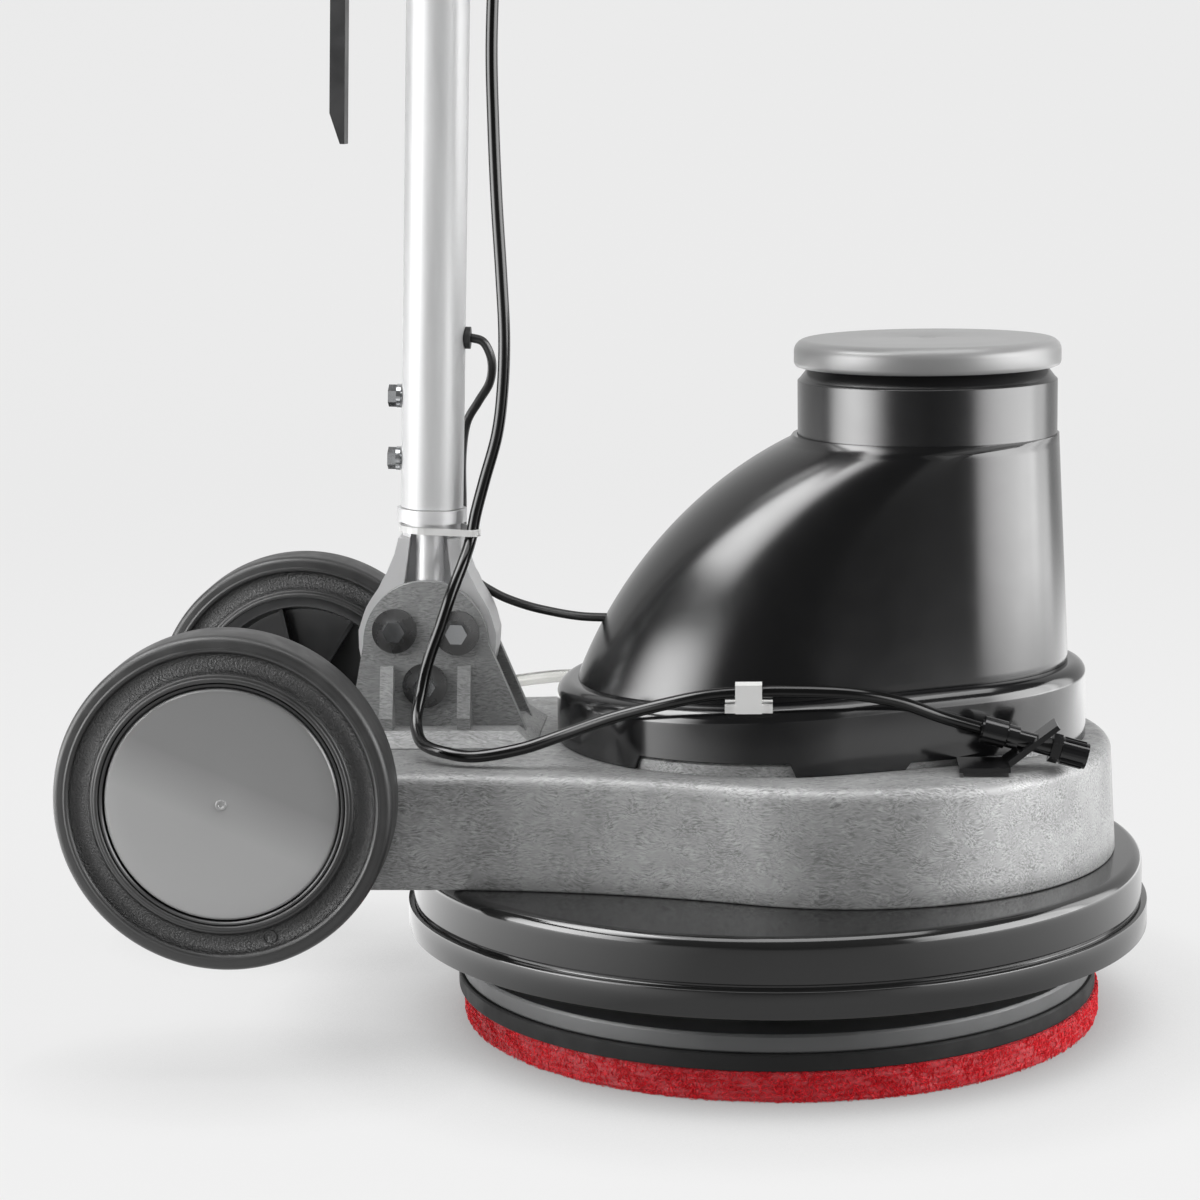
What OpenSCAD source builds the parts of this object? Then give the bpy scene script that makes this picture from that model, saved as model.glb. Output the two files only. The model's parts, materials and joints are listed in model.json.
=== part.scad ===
// Single-disc orbital floor scrubber. X points forward, Y to the left, Z up.
// The origin is on the floor, on the drive axis of the disc.

/* [Disc] */
// Radius of the scrub pad
pad_r = 216; // [205:1:220]
// Thickness of the scrub pad
pad_t = 21; // [16:1:21]
// Offset of the pad's centre from the drive axis
orbit = 4; // [3:1:7]
// Radius of the bumper skirt
skirt_r = 250; // [246:1:256]

/* [Chassis] */
// Radius of the chassis round the disc
chassis_r = 181; // [178:1:184]
// Half width of the chassis tail between the wheels
tail_w = 134; // [128:1:135]
// Height of the chassis lower edge
chassis_z0 = 114; // [112:1:116]
// Height of the chassis top
chassis_z1 = 189; // [188:1:192]

/* [Motor] */
// Distance from the drive axis to the motor axis
motor_x = 107; // [104:1:110]
// Radius of the hood's neck
neck_r = 85.7; // [84:0.1:86]
// Radius of the top cap
cap_r = 88; // [88:0.5:92]

/* [Wheels] */
// Radius of a transport wheel
wheel_r = 107.5; // [100:0.5:110]
// Distance from the middle to a wheel's outer face
wheel_y = 183; // [180:1:185]
// Height of the axle
axle_z = 181.5; // [180:0.5:186]

/* [Handle] */
// Radius of the drawbar tube
tube_r = 21; // [20:0.5:21]
// Lean of the drawbar from upright, in degrees
lean = 2.1; // [0:0.1:3]
// Height of the handle head's pivot above the foot bolts
pivot_z = 865; // [850:5:900]

/* [Hidden] */
$fn = 64;
eps = 0.01;
fit = 0.05;

// Colours
cast_grey = [0.66, 0.67, 0.67];
polished = [0.86, 0.87, 0.88];
black = [0.09, 0.09, 0.10];
rubber = [0.16, 0.16, 0.17];
steel = [0.70, 0.71, 0.73];
pale_grey = [0.78, 0.79, 0.79];

// Disc stack
grip_t = 11;
plate_t = 12;
plate_z0 = pad_t + grip_t;
plate_z1 = plate_z0 + plate_t;
hub_r = 38;
hub_z1 = 82;
bearing_z0 = 58;
bearing_z1 = 74;
journal_r = 12;
shaft_r = 15;
skirt_z0 = 64;
skirt_z1 = 114;
skirt_t = 4;
cover_z0 = 118.5;
cover_t = 3;
cover_bore = 26;
pad_off = 3;
skirt_x = 4.5;

// Chassis outline
round_x = 52;
tail_x = -300;
tail_corner = 24;
waist_r = 600;
wall_t = 7;
roof_t = 7;

// Belt drive
belt_z0 = 127;
belt_z1 = 145;
belt_gap = 0.3;
belt_t = 3;
driven_r = 44;
drive_r = 22;
boss_r = 36;
boss_z0 = 150;

// Motor
stator_r = 74;
rotor_r = 38;
stator_z0 = 222;
stator_z1 = 322;
motor_shaft_r = 10;
ring_z1 = 241;
ring_wall_z1 = 231;
ring_r = 142;
ring_nose_r = 106;
ring_round = 10;
ring_fall = 0.034;
ring_nose_x = motor_x + ring_nose_r;
clip_x = -11;
clip_y = -141.5;
clip_z = 244.4;
hood_z0 = 241;
neck_z0 = 392;
neck_z1 = 429;
hood_t = 3;
cap_z0 = 437;
cap_z1 = 455;
cap_round = 8;

// Wheels
wheel_x = -340.7;
shoulder_r = 5;
tyre_w = 40;
rim_r = 78;
axle_r = 10;
wheel_y0 = wheel_y - tyre_w;

// Handle foot and ears
foot_x = -228;
foot_z = 252;
ear_y0 = 20;
ear_t = 8;
ear_r = 42;
bolt_pitch = 42;
bolt_rise = bolt_pitch * sqrt(3) / 6;
bolts = [[-bolt_pitch / 2, bolt_rise], [bolt_pitch / 2, bolt_rise], [0, -2 * bolt_rise]];
plinth_z = 200;
collar_z0 = 83.5;
collar_z1 = 92.3;
collar_r = 23.5;
neck_foot_r = 19.4;
tube_z0 = 93;
tube_wall = 2;
tube_z1 = pivot_z + 20;

// Handle head
head_z0 = pivot_z - 15;
head_mid = pivot_z + 22;
head_z1 = pivot_z + 55;
head_x0 = -110;
head_x1 = 42;
head_y = 50;
head_wall = 3.5;
pin_r = 6;
bar_r = 11;
bar_x = -62;
bar_z = pivot_z + 32;
bar_half = 150;
bend_r = 45;
grip_x0 = -238;
grip_x1 = -118;
grip_r = 15.5;

// Tank
tank_x0 = 28;
tank_x1 = 150;
tank_y = 135;
tank_z0 = 505;
tank_z1 = 745;
outlet = [40, -25];
cap_x = 98;

// Places of the disc-side joints of the spray nozzle
nozzle_at = [136, -117, 215.5];
nozzle_slope = 15.3;

// Routes, in millimetres, chosen by hand along each lead
hose_r = 4;
hose_route = [[-170, -25, 745], [-172, -25, 715], [-175.5, -25, 650], [-175.5, -25, 600], [-174.5, -24, 550],
    [-172.5, -23, 500], [-171.5, -22, 460], [-173.5, -20, 425], [-178, -18, 395], [-187, -16, 365],
    [-193.5, -16.5, 342], [-197, -19, 325], [-201.5, -31, 310], [-208.5, -41, 292], [-216, -46, 270],
    [-224, -50, 248], [-229, -55, 226], [-231, -66, 210], [-225, -84, 200], [-208, -102, 197.5],
    [-187, -109, 196.5], [-157, -113, 202.5], [-131, -117, 212], [-96, -127, 226], [-60, -137, 237],
    [-34, -141, 242.8], [-11, -141.5, 244.4], [12, -141.3, 244.8], [52, -138, 242.5], [83, -130, 235.5],
    [111, -122, 224], [136, -117, 215.5]];
lead_r = 3;
lead_route = [[-202, 0, 458.2], [-195, 0, 457.8], [-187, 0, 454.5], [-182.5, 3, 442], [-185, 12, 427],
    [-194, 22, 413], [-203, 30, 398], [-207, 34, 375], [-208, 38, 345], [-208, 37, 318], [-202, 33, 293],
    [-186, 26, 281.5], [-165, 17, 274.5], [-143, 9, 270.5], [-125, 4, 268.5], [-108, 2, 268]];
clear_r = 4.5;
clear_route = [[-240, 66, 194], [-228, 74, 198], [-205, 88, 203], [-180, 97, 206], [-150, 100, 209],
    [-128, 96, 210], [-110, 90, 210]];

// ---- Shared functions and shapes ----

function arc(c, r, a0, a1, n) = [for (i = [0 : n]) c + r * [cos(a0 + (a1 - a0) * i / n), sin(a0 + (a1 - a0) * i / n)]];

// Outline round two circles whose centres lie on the X axis, the larger at xa.
function pill(xa, ra, xb, rb, n) = let (t = acos((ra - rb) / (xb - xa)))
    concat(arc([xb, 0], rb, -t, t, n), arc([xa, 0], ra, t, 360 - t, n + 8));

// Outline of the chassis, moved in by the inset.
function chassis_outline(inset) = let (
        big = chassis_r - inset,
        half = tail_w - inset,
        waist = waist_r + inset,
        dx = sqrt(pow(big + waist, 2) - pow(half + waist, 2)),
        a = atan2(half + waist, -dx),
        end = tail_x + inset,
        corner = max(tail_corner - inset, 4),
        side = concat(arc([round_x, 0], big, 0, a, 16),
            arc([round_x - dx, half + waist], waist, a - 180, -90, 5),
            arc([end + corner, half - corner], corner, 90, 180, 4)))
    concat(side, [for (i = [len(side) - 1 : -1 : 1]) [side[i][0], -side[i][1]]]);

function at_height(outline, z) = [for (p = outline) [p[0], p[1], z]];

// Solid through a stack of rings, with flat ends.
module loft(rings) {
    n = len(rings[0]);
    last = len(rings) - 1;
    sides = [for (i = [0 : last - 1], j = [0 : n - 1]) [(i + 1) * n + j, (i + 1) * n + (j + 1) % n,
        i * n + (j + 1) % n, i * n + j]];
    ends = [[for (j = [0 : n - 1]) j], [for (j = [n - 1 : -1 : 0]) last * n + j]];
    polyhedron([for (r = rings) each r], concat(sides, ends), convexity = 6);
}

// Shell whose rings run up the outside and back down the inside.
module shell(rings) {
    n = len(rings[0]);
    m = len(rings);
    faces = [for (i = [0 : m - 1], j = [0 : n - 1]) [((i + 1) % m) * n + j, ((i + 1) % m) * n + (j + 1) % n,
        i * n + (j + 1) % n, i * n + j]];
    polyhedron([for (r = rings) each r], faces, convexity = 6);
}

function unit(v) = v / norm(v);

function tangent(p, i) = unit(p[min(i + 1, len(p) - 1)] - p[max(i - 1, 0)]);

// Frames that follow a route without twisting.
function carry(side, t) = unit(side - (side * t) * t);

function sides_along(p, i, side) = i == len(p) ? []
    : let (s = carry(side, tangent(p, i))) concat([s], sides_along(p, i + 1, s));

// Extra points between the hand-chosen ones, on a smooth curve through them.
function bezier_step(p, i, t) = let (
        a = p[max(i - 1, 0)],
        b = p[i],
        c = p[i + 1],
        d = p[min(i + 2, len(p) - 1)])
    0.5 * (2 * b + (c - a) * t + (2 * a - 5 * b + 4 * c - d) * t * t + (3 * b - a - 3 * c + d) * t * t * t);

function smooth_route(p, k) = concat([for (i = [0 : len(p) - 2], j = [0 : k - 1]) bezier_step(p, i, j / k)],
    [p[len(p) - 1]]);

module sweep(route, r, n) {
    side = sides_along(route, 0, [0.3, 1, 0.2]);
    loft([for (i = [0 : len(route) - 1]) let (t = tangent(route, i), u = side[i], v = cross(t, u))
        [for (j = [0 : n - 1]) route[i] + r * (cos(j * 360 / n) * u + sin(j * 360 / n) * v)]]);
}

module rounded_box(low, high, r) {
    for (x = [low[0] + r, high[0] - r], y = [low[1] + r, high[1] - r])
        translate([x, y, low[2]]) cylinder(r = r, h = high[2] - low[2]);
    translate([low[0] + r, low[1], low[2]]) cube([high[0] - low[0] - 2 * r, high[1] - low[1], high[2] - low[2]]);
    translate([low[0], low[1] + r, low[2]]) cube([high[0] - low[0], high[1] - low[1] - 2 * r, high[2] - low[2]]);
}

module box_from(low, high) {
    translate(low) cube(high - low);
}

module washer(r, bore, h) {
    difference() {
        cylinder(r = r, h = h);
        translate([0, 0, -1]) cylinder(r = bore, h = h + 2);
    }
}

// Hexagon headed screw with its head's underside at the origin and its shank pointing down.
module hex_screw(shank_r, length, across, head) {
    translate([0, 0, -length]) cylinder(r = shank_r, h = length);
    cylinder(r = across / sqrt(3), h = head, $fn = 6);
}

// Frame of the leaning drawbar, with its origin at the middle of the foot bolts.
module on_handle() {
    translate([foot_x, 0, foot_z]) rotate([0, lean, 0]) children();
}

// Wheel parts lie flat with the outer face up at zero; this puts them on the axle.
module on_wheel(side) {
    translate([wheel_x, side * wheel_y, axle_z]) rotate([-90 * side, 0, 0]) children();
}

module on_nozzle() {
    translate(nozzle_at) rotate([0, 90 + nozzle_slope, 0]) children();
}

// ---- Disc ----

// The pad is laid on by hand, so it sits a little off the driver's centre.
module scrub_pad() {
    color([0.80, 0.12, 0.16]) translate([orbit + pad_off, 0, 0]) rotate_extrude() polygon([[0, 0], [pad_r - 5, 0],
        [pad_r, 4], [pad_r, pad_t - 2], [pad_r - 2, pad_t], [0, pad_t]]);
}

module grip_ring() {
    color(rubber) translate([orbit, 0, 0]) rotate_extrude() polygon([[50, pad_t], [pad_r + 0.5, pad_t],
        [pad_r + 0.5, plate_z0 - 1], [pad_r - 0.5, plate_z0], [50, plate_z0]]);
}

module pad_driver() {
    color([0.45, 0.46, 0.47]) translate([orbit, 0, 0]) difference() {
        rotate_extrude() polygon([[0, plate_z0], [pad_r - 2, plate_z0], [pad_r - 2, plate_z1 - 2],
            [pad_r - 5, plate_z1], [hub_r + 8, plate_z1], [hub_r, plate_z1 + 8], [hub_r, hub_z1 - 2],
            [hub_r - 2, hub_z1], [0, hub_z1]]);
        translate([0, 0, bearing_z0]) cylinder(r = 28, h = 40);
        translate([0, 0, plate_z0 + 4]) cylinder(r = 20, h = 40);
    }
}

module hub_bearing() {
    color(steel) translate([orbit, 0, bearing_z0]) washer(28, journal_r + 0.03, bearing_z1 - bearing_z0);
}

module eccentric_shaft() {
    color(steel) {
        translate([orbit, 0, 50]) cylinder(r = journal_r, h = 36);
        translate([0, 0, 86]) cylinder(r = 26, h = 10);
        translate([0, 0, 96 - eps]) cylinder(r = shaft_r, h = 86 + eps);
        translate([0, 0, 97]) rotate([0, 0, 90]) rotate_extrude(angle = 180) translate([shaft_r - 1, 0])
            square([37, 10]);
    }
}

// Two-band rubber bumper whose flat flange is clamped up against the chassis edge.
module bumper_skirt() {
    band = skirt_r - 3.7;
    inner = skirt_r - 9;
    round_r = 7;
    color(black) translate([skirt_x, 0, 0]) rotate_extrude($fn = 128)
        polygon(concat([[inner, skirt_z0], [skirt_r - 1, skirt_z0], [skirt_r, skirt_z0 + 1],
            [skirt_r, skirt_z0 + 17], [skirt_r - 1, skirt_z0 + 18], [band - 1.5, skirt_z0 + 18],
            [band - 1.5, skirt_z0 + 20.5], [band, skirt_z0 + 21]],
            arc([band - round_r, skirt_z1 - round_r], round_r, 0, 90, 5),
            [[60, skirt_z1], [60, skirt_z1 - skirt_t], [inner - 8, skirt_z1 - skirt_t], [inner, skirt_z1 - 12]]));
}

// ---- Chassis ----

module chassis_casting() {
    color(cast_grey) {
        difference() {
            loft([at_height(chassis_outline(0), chassis_z0),
                at_height(chassis_outline(3), chassis_z1 - 12),
                at_height(chassis_outline(5), chassis_z1 - 6),
                at_height(chassis_outline(9), chassis_z1 - 2),
                at_height(chassis_outline(15), chassis_z1)]);
            loft([at_height(chassis_outline(wall_t), chassis_z0 - 1),
                at_height(chassis_outline(wall_t + 3), chassis_z1 - roof_t)]);
            translate([motor_x, 0, 150]) cylinder(r = 40, h = 60);
            translate([0, 0, 150]) cylinder(r = 20, h = 60);
            for (p = bracket_holes)
                translate([p[0], p[1], chassis_z1 - roof_t - 2]) cylinder(r = 4.02, h = roof_t + 4);
        }
        for (p = cover_holes)
            translate([p[0], p[1], 0]) cover_boss();
        difference() {
            translate([0, 0, boss_z0]) cylinder(r = boss_r, h = chassis_z1 - roof_t - boss_z0 + 1);
            translate([0, 0, boss_z0 - 1]) cylinder(r = 27.5, h = 60);
        }
        for (side = [-1, 1])
            axle_arm(side);
    }
}

// Post under the roof that takes a cover screw.
module cover_boss() {
    foot = cover_z0 + cover_t + 0.02;
    difference() {
        translate([0, 0, foot]) cylinder(r = 8, h = chassis_z1 - roof_t + 1 - foot);
        translate([0, 0, foot - 1]) cylinder(r = 3.02, h = 7);
    }
}

// Arm that carries the axle behind the tail.
module axle_arm(side) {
    translate([0, side * 100 - 8, 0]) rotate([90, 0, 0]) mirror([0, 0, 1]) difference() {
        union() {
            linear_extrude(16) polygon([[tail_x + 2, 126], [tail_x + 2, chassis_z1 - 6],
                [wheel_x, axle_z + 20], [wheel_x - 12, axle_z - 10], [wheel_x + 10, axle_z - 24]]);
            translate([wheel_x, axle_z, 0]) cylinder(r = 22, h = 16);
        }
        translate([wheel_x, axle_z, -1]) cylinder(r = axle_r + 0.02, h = 18);
    }
}

module belt_cover() {
    color(steel) translate([0, 0, cover_z0]) difference() {
        linear_extrude(cover_t) polygon(chassis_outline(wall_t + 2));
        translate([0, 0, -1]) cylinder(r = cover_bore, h = cover_t + 2);
        for (p = cover_holes)
            translate([p[0], p[1], -1]) cylinder(r = 3.2, h = cover_t + 2);
        for (p = bracket_holes)
            translate([p[0], p[1], -1]) cylinder(r = 9, h = cover_t + 2);
    }
}

cover_holes = [for (a = [-100, -40, 40, 100]) [round_x + 150 * cos(a), 150 * sin(a)]];
bracket_holes = [for (x = [-272, -172], y = [-38, 38]) [x, y]];

// Screws that hold the cover from below and the handle bracket from inside.
module underside_screws() {
    color(steel) {
        for (p = cover_holes)
            translate([p[0], p[1], cover_z0 - 0.02]) mirror([0, 0, 1]) hex_screw(3, 8, 10, 3.6);
        for (p = bracket_holes)
            translate([p[0], p[1], chassis_z1 - roof_t - 0.02]) mirror([0, 0, 1]) hex_screw(4, 14, 13, 5.5);
    }
}

module handle_bracket() {
    color(cast_grey) {
        difference() {
            hull() {
                box_from([-292, -54, chassis_z1], [-154, 54, chassis_z1 + 1]);
                box_from([-284, -46, plinth_z - 1], [-166, 46, plinth_z]);
            }
            for (p = bracket_holes)
                translate([p[0], p[1], chassis_z1 - 1]) cylinder(r = 4.02, h = 9);
        }
        for (side = [-1, 1]) {
            ear(side);
            for (x = [-255, -203])
                ear_rib(x, side);
        }
    }
}

module ear(side) {
    far = side < 0 ? -ear_y0 : ear_y0 + ear_t;
    on_ear(far) difference() {
        union() {
            translate([0, 4]) circle(r = ear_r);
            polygon([[-ear_r, 4], [-54, plinth_z - 5 - foot_z], [67, plinth_z - 5 - foot_z], [ear_r, 4]]);
        }
        for (b = bolts)
            turn(b) circle(r = 4.2);
    }
}

// Upright plate of the ear's thickness whose rear face is at y.
module on_ear(y) {
    translate([foot_x, y, foot_z]) rotate([90, 0, 0]) linear_extrude(ear_t) children();
}

// Turns a bolt place by the lean, so that holes line up with the leaning foot.
module turn(b) {
    rotate([0, 0, -lean]) translate(b) children();
}

module ear_rib(x, side) {
    mirror([0, side < 0 ? 1 : 0, 0]) translate([x + 5.3, 0, 0]) rotate([90, 0, -90]) linear_extrude(8.8)
        mirror([1, 0]) polygon([[-ear_y0 - ear_t + 1, plinth_z - 1], [-44, plinth_z - 1], [-44, plinth_z + 8],
            [-31, 241], [-ear_y0 - ear_t + 1, 241]]);
}

module drive_belt() {
    color(rubber) translate([0, 0, belt_z0]) linear_extrude(belt_z1 - belt_z0) difference() {
        belt_outline(belt_gap + belt_t);
        belt_outline(belt_gap);
    }
}

module belt_outline(grow) {
    polygon(pill(0, driven_r + grow, motor_x, drive_r + grow, 24));
}

// Pulley with raised rims outside the belt's edges.
module pulley(r, bore) {
    difference() {
        union() {
            translate([0, 0, belt_z0 - 1]) cylinder(r = r, h = belt_z1 - belt_z0 + 2);
            for (z = [belt_z0 - 4, belt_z1 + 1])
                translate([0, 0, z]) cylinder(r = r + 5, h = 2.6);
        }
        translate([0, 0, belt_z0 - 6]) cylinder(r = bore, h = 40);
    }
}

module driven_pulley() {
    color(polished) pulley(driven_r, shaft_r);
}

module motor_pulley() {
    color(polished) translate([motor_x, 0, 0]) pulley(drive_r, motor_shaft_r);
}

module ball_bearings() {
    color(steel) {
        for (z = [boss_z0 + 1, 167])
            translate([0, 0, z]) washer(27.45, shaft_r + 0.03, 14);
        for (z = [stator_z0 - 14, stator_z1 + 3])
            translate([motor_x, 0, z]) washer(21, motor_shaft_r + 0.03, 11);
    }
}

// ---- Motor ----

module motor_stator() {
    color([0.35, 0.36, 0.38]) translate([motor_x, 0, stator_z0]) difference() {
        cylinder(r = stator_r, h = stator_z1 - stator_z0);
        translate([0, 0, -1]) cylinder(r = rotor_r + 0.6, h = 200);
    }
}

module motor_rotor() {
    color(steel) translate([motor_x, 0, 0]) {
        translate([0, 0, stator_z0 + 6]) cylinder(r = rotor_r, h = stator_z1 - stator_z0 - 12);
        translate([0, 0, belt_z0 - 5]) cylinder(r = motor_shaft_r, h = 267);
    }
}

module motor_end_shields() {
    color([0.60, 0.61, 0.62]) translate([motor_x, 0, 0]) {
        difference() {
            union() {
                translate([0, 0, chassis_z1]) cylinder(r = 70, h = 6);
                translate([0, 0, stator_z0 - 16]) cylinder(r = stator_r, h = 16);
                for (a = [45 : 90 : 315])
                    rotate([0, 0, a]) translate([58, 0, chassis_z1 + 5]) cylinder(r = 8, h = 16);
            }
            translate([0, 0, 180]) cylinder(r = 14, h = 60);
            translate([0, 0, stator_z0 - 14]) cylinder(r = 21.03, h = 20);
        }
        difference() {
            translate([0, 0, stator_z1]) cylinder(r = stator_r, h = 18);
            translate([0, 0, stator_z1 - 1]) cylinder(r = 13, h = 40);
            translate([0, 0, stator_z1 - 1]) cylinder(r = 21.03, h = 15.2);
        }
    }
}

module cooling_fan() {
    color(rubber) translate([motor_x, 0, 360]) {
        difference() {
            union() {
                cylinder(r = 20, h = 24);
                cylinder(r = 64, h = 3);
            }
            translate([0, 0, -1]) cylinder(r = motor_shaft_r, h = 40);
        }
        for (a = [0 : 40 : 320])
            rotate([0, 0, a]) translate([19, -1.5, 2]) cube([44, 3, 20]);
    }
}

module start_capacitor() {
    color([0.2, 0.2, 0.22]) translate([-62, 0, chassis_z1]) cylinder(r = 20, h = 92);
}

module motor_base_ring() {
    inner = hood_t;
    color(black) difference() {
        shell([ring_outline(0, chassis_z1), ring_top(0, ring_wall_z1),
            ring_top(ring_round * (1 - cos(30)), ring_wall_z1 + ring_round * sin(30)),
            ring_top(ring_round * (1 - cos(60)), ring_wall_z1 + ring_round * sin(60)),
            ring_top(ring_round, ring_z1), ring_top(ring_round + 14, ring_z1),
            ring_top(ring_round + 14, ring_z1 - inner), ring_top(ring_round, ring_z1 - inner),
            ring_top(inner, ring_wall_z1 - 4), ring_outline(inner, chassis_z1)]);
        translate([-88, -160, chassis_z1 - 1]) cube([104, 60, 9]);
    }
}

function ring_outline(inset, z) = at_height(pill(0, ring_r - inset, motor_x, ring_nose_r - inset, 20), z);

// Lowers an outline's points towards the rear, as the top of the base ring falls.
function fallen(points, share) = [for (p = points) [p[0], p[1], p[2] - share * ring_fall * (ring_nose_x - p[0])]];

function ring_top(inset, z) = fallen(ring_outline(inset, z), 1);

// Rear edge of the hood at a fraction of its height: a circular bulge that flares into the neck.
function hood_rear(t) = let (z = hood_z0 - 11.6 * (1 - t) + (neck_z0 - hood_z0) * t)
    166.3 - sqrt(pow(317, 2) - pow(z - 111.6, 2)) + 3.4 * pow(t, 12);

function hood_ring(t, inset) = let (
        rear_r = 126 - 38 * t,
        front_r = 94 - 7 * t)
    pill(hood_rear(t) + rear_r, rear_r - inset, motor_x, min(front_r, rear_r - 0.5) - inset, 20);

function hood_level(t, inset) = fallen(at_height(hood_ring(t, inset), hood_z0 + (neck_z0 - hood_z0) * t), 1 - t);

function neck_level(inset, z) = at_height(pill(motor_x - 0.5, neck_r - inset, motor_x + 0.5,
    neck_r - 0.3 - inset, 20), z);

module motor_hood() {
    steps = [0, 0.12, 0.24, 0.36, 0.48, 0.6, 0.7, 0.8, 0.88, 0.95, 1];
    color(black) shell(concat([for (t = steps) hood_level(t, 0)],
        [neck_level(0, neck_z0 + 2), neck_level(0, neck_z1 - 2), neck_level(2, neck_z1),
            neck_level(8, neck_z1), neck_level(8, cap_z0), neck_level(16, cap_z0),
            neck_level(16, neck_z1 - hood_t), neck_level(hood_t, neck_z1 - hood_t),
            neck_level(hood_t, neck_z0 + 2)],
        [for (i = [len(steps) - 1 : -1 : 0]) hood_level(steps[i], hood_t)]));
}

module hood_cap() {
    color(pale_grey) translate([motor_x, 0, 0]) rotate_extrude() polygon(concat([[0, cap_z0], [cap_r - 2, cap_z0],
        [cap_r, cap_z0 + 2]], arc([cap_r - cap_round, cap_z1 - cap_round], cap_round, 0, 90, 6), [[0, cap_z1]]));
}

// ---- Wheels ----

module wheel_axle() {
    half = wheel_y - 9;
    color(steel) translate([wheel_x, -half, axle_z]) rotate([-90, 0, 0]) cylinder(r = axle_r, h = 2 * half);
}

module tyre(side) {
    color(rubber) on_wheel(side) rotate_extrude($fn = 128) polygon(concat([[rim_r, -tyre_w + 4], [wheel_r - 14, -tyre_w]],
        arc([wheel_r - shoulder_r, -tyre_w + shoulder_r], shoulder_r, -90, 0, 4),
        arc([wheel_r - shoulder_r, -shoulder_r], shoulder_r, 0, 90, 4), [[wheel_r - 14, -2.5],
        [rim_r + 8, -4], [rim_r + 2, -1], [rim_r, -2]]));
}

module rim(side) {
    color(black) on_wheel(side) rotate_extrude($fn = 96) polygon([[axle_r + fit, -tyre_w + 2], [24, -tyre_w + 2],
        [26, -24], [66, -22], [72, -tyre_w + 3], [rim_r, -tyre_w + 4], [rim_r, -2], [75.5, -2], [75.5, -8],
        [24, -10], [22, -8], [axle_r + fit, -8]]);
}

module hub_cap(side) {
    color(pale_grey) on_wheel(side) rotate_extrude($fn = 96) polygon([[0, -3], [2.5, -3], [2.5, -1.6], [3, -1.4],
        [60, -1.4], [70, -2.2], [74, -4], [74.4, -7], [0, -7]]);
}

module left_tyre() tyre(1);
module right_tyre() tyre(-1);
module left_rim() rim(1);
module right_rim() rim(-1);
module left_hub_cap() hub_cap(1);
module right_hub_cap() hub_cap(-1);

// ---- Drawbar ----

module tube_foot() {
    color(polished) on_handle() {
        difference() {
            union() {
                foot_blade();
                translate([0, 0, 30]) cylinder(r = 19.4, h = collar_z0 - 28);
                translate([0, 0, 74]) cylinder(r = neck_foot_r, h = collar_z0 - 73);
                translate([0, 0, collar_z0]) cylinder(r = collar_r, h = collar_z1 - collar_z0);
                translate([0, 0, collar_z1 - eps]) cylinder(r = tube_r - tube_wall - 0.02, h = 100);
            }
            for (b = bolts)
                translate([b[0], 0, b[1]]) rotate([90, 0, 0]) translate([0, 0, -30]) cylinder(r = 4.2, h = 60);
            for (side = [-1, 1])
                foot_pocket(side);
            for (z = screw_heights)
                translate([-30, 0, z]) rotate([0, 90, 0]) cylinder(r = 4.02, h = 40);
        }
    }
}

screw_heights = [125, 167];

// Flared blade between the ears.
module foot_blade() {
    half = [[0, -46], [30, -44], [44, -12], [46, -2], [46.5, 10], [43.3, 21], [41.3, 26.4], [37.8, 32.5], [33.5, 39],
        [30.4, 45.6], [28, 49.5], [25.5, 56], [23, 62], [20.8, 71], [20.4, 73.5], [0, 73.5]];
    outline = concat(half, [for (i = [len(half) - 2 : -1 : 1]) [-half[i][0], half[i][1]]]);
    translate([0, 19.4, 0]) rotate([90, 0, 0]) linear_extrude(38.8) polygon(outline);
}

// Pocket in one face of the foot, around a round column and between its curved flanges.
module foot_pocket(side) {
    mirror([0, side < 0 ? 1 : 0, 0]) difference() {
        translate([0, 30, 0]) rotate([90, 0, 0]) linear_extrude(24) {
            polygon([[-13.6, 41], [13.6, 41], [16.1, 43.5], [12.6, 72], [12.5, 79], [-12.5, 79], [-12.6, 72],
                [-16.1, 43.5]]);
            for (x = [-13.6, 13.6])
                translate([x, 43.5]) circle(r = 2.5);
        }
        translate([0, 9.5, 35]) cylinder(r = 9.7, h = 50);
    }
}

module foot_washers() {
    color(steel) on_handle() for (b = bolts, side = [-1, 1])
        translate([b[0], side < 0 ? -ear_y0 - ear_t : ear_y0 + ear_t + 3, b[1]]) rotate([90, 0, 0]) washer(15, 4.2, 3);
}

// Bolts through both ears, with a nut on the far end of each.
module foot_bolts() {
    face = ear_y0 + ear_t + 3;
    color(steel) on_handle() for (b = bolts)
        translate([b[0], -face, b[1]]) rotate([90, 0, 0]) {
            hex_screw(4, 2 * face + 9, 13, 5.5);
            translate([0, 0, -2 * face - 7]) cylinder(r = 13 / sqrt(3), h = 7, $fn = 6);
        }
}

module drawbar_tube() {
    color(polished) on_handle() difference() {
        translate([0, 0, tube_z0]) cylinder(r = tube_r, h = tube_z1 - tube_z0);
        translate([0, 0, tube_z0 - 1]) cylinder(r = tube_r - tube_wall, h = tube_z1);
        translate([0, 30, pivot_z]) rotate([90, 0, 0]) cylinder(r = pin_r + fit, h = 60);
        translate([10, 0, grommet_z]) rotate([0, 90, 0]) cylinder(r = 6.5, h = 20);
        for (z = screw_heights)
            translate([-30, 0, z]) rotate([0, 90, 0]) cylinder(r = 4.02, h = 20);
    }
}

grommet_z = 207;

module tube_screws() {
    color(steel) on_handle() for (z = screw_heights)
        translate([-tube_r - 3.4, 0, z]) rotate([0, -90, 0]) {
            hex_screw(4, 22, 13, 5.5);
            translate([0, 0, -3]) cylinder(r = 8, h = 2.9);
        }
}

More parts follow.
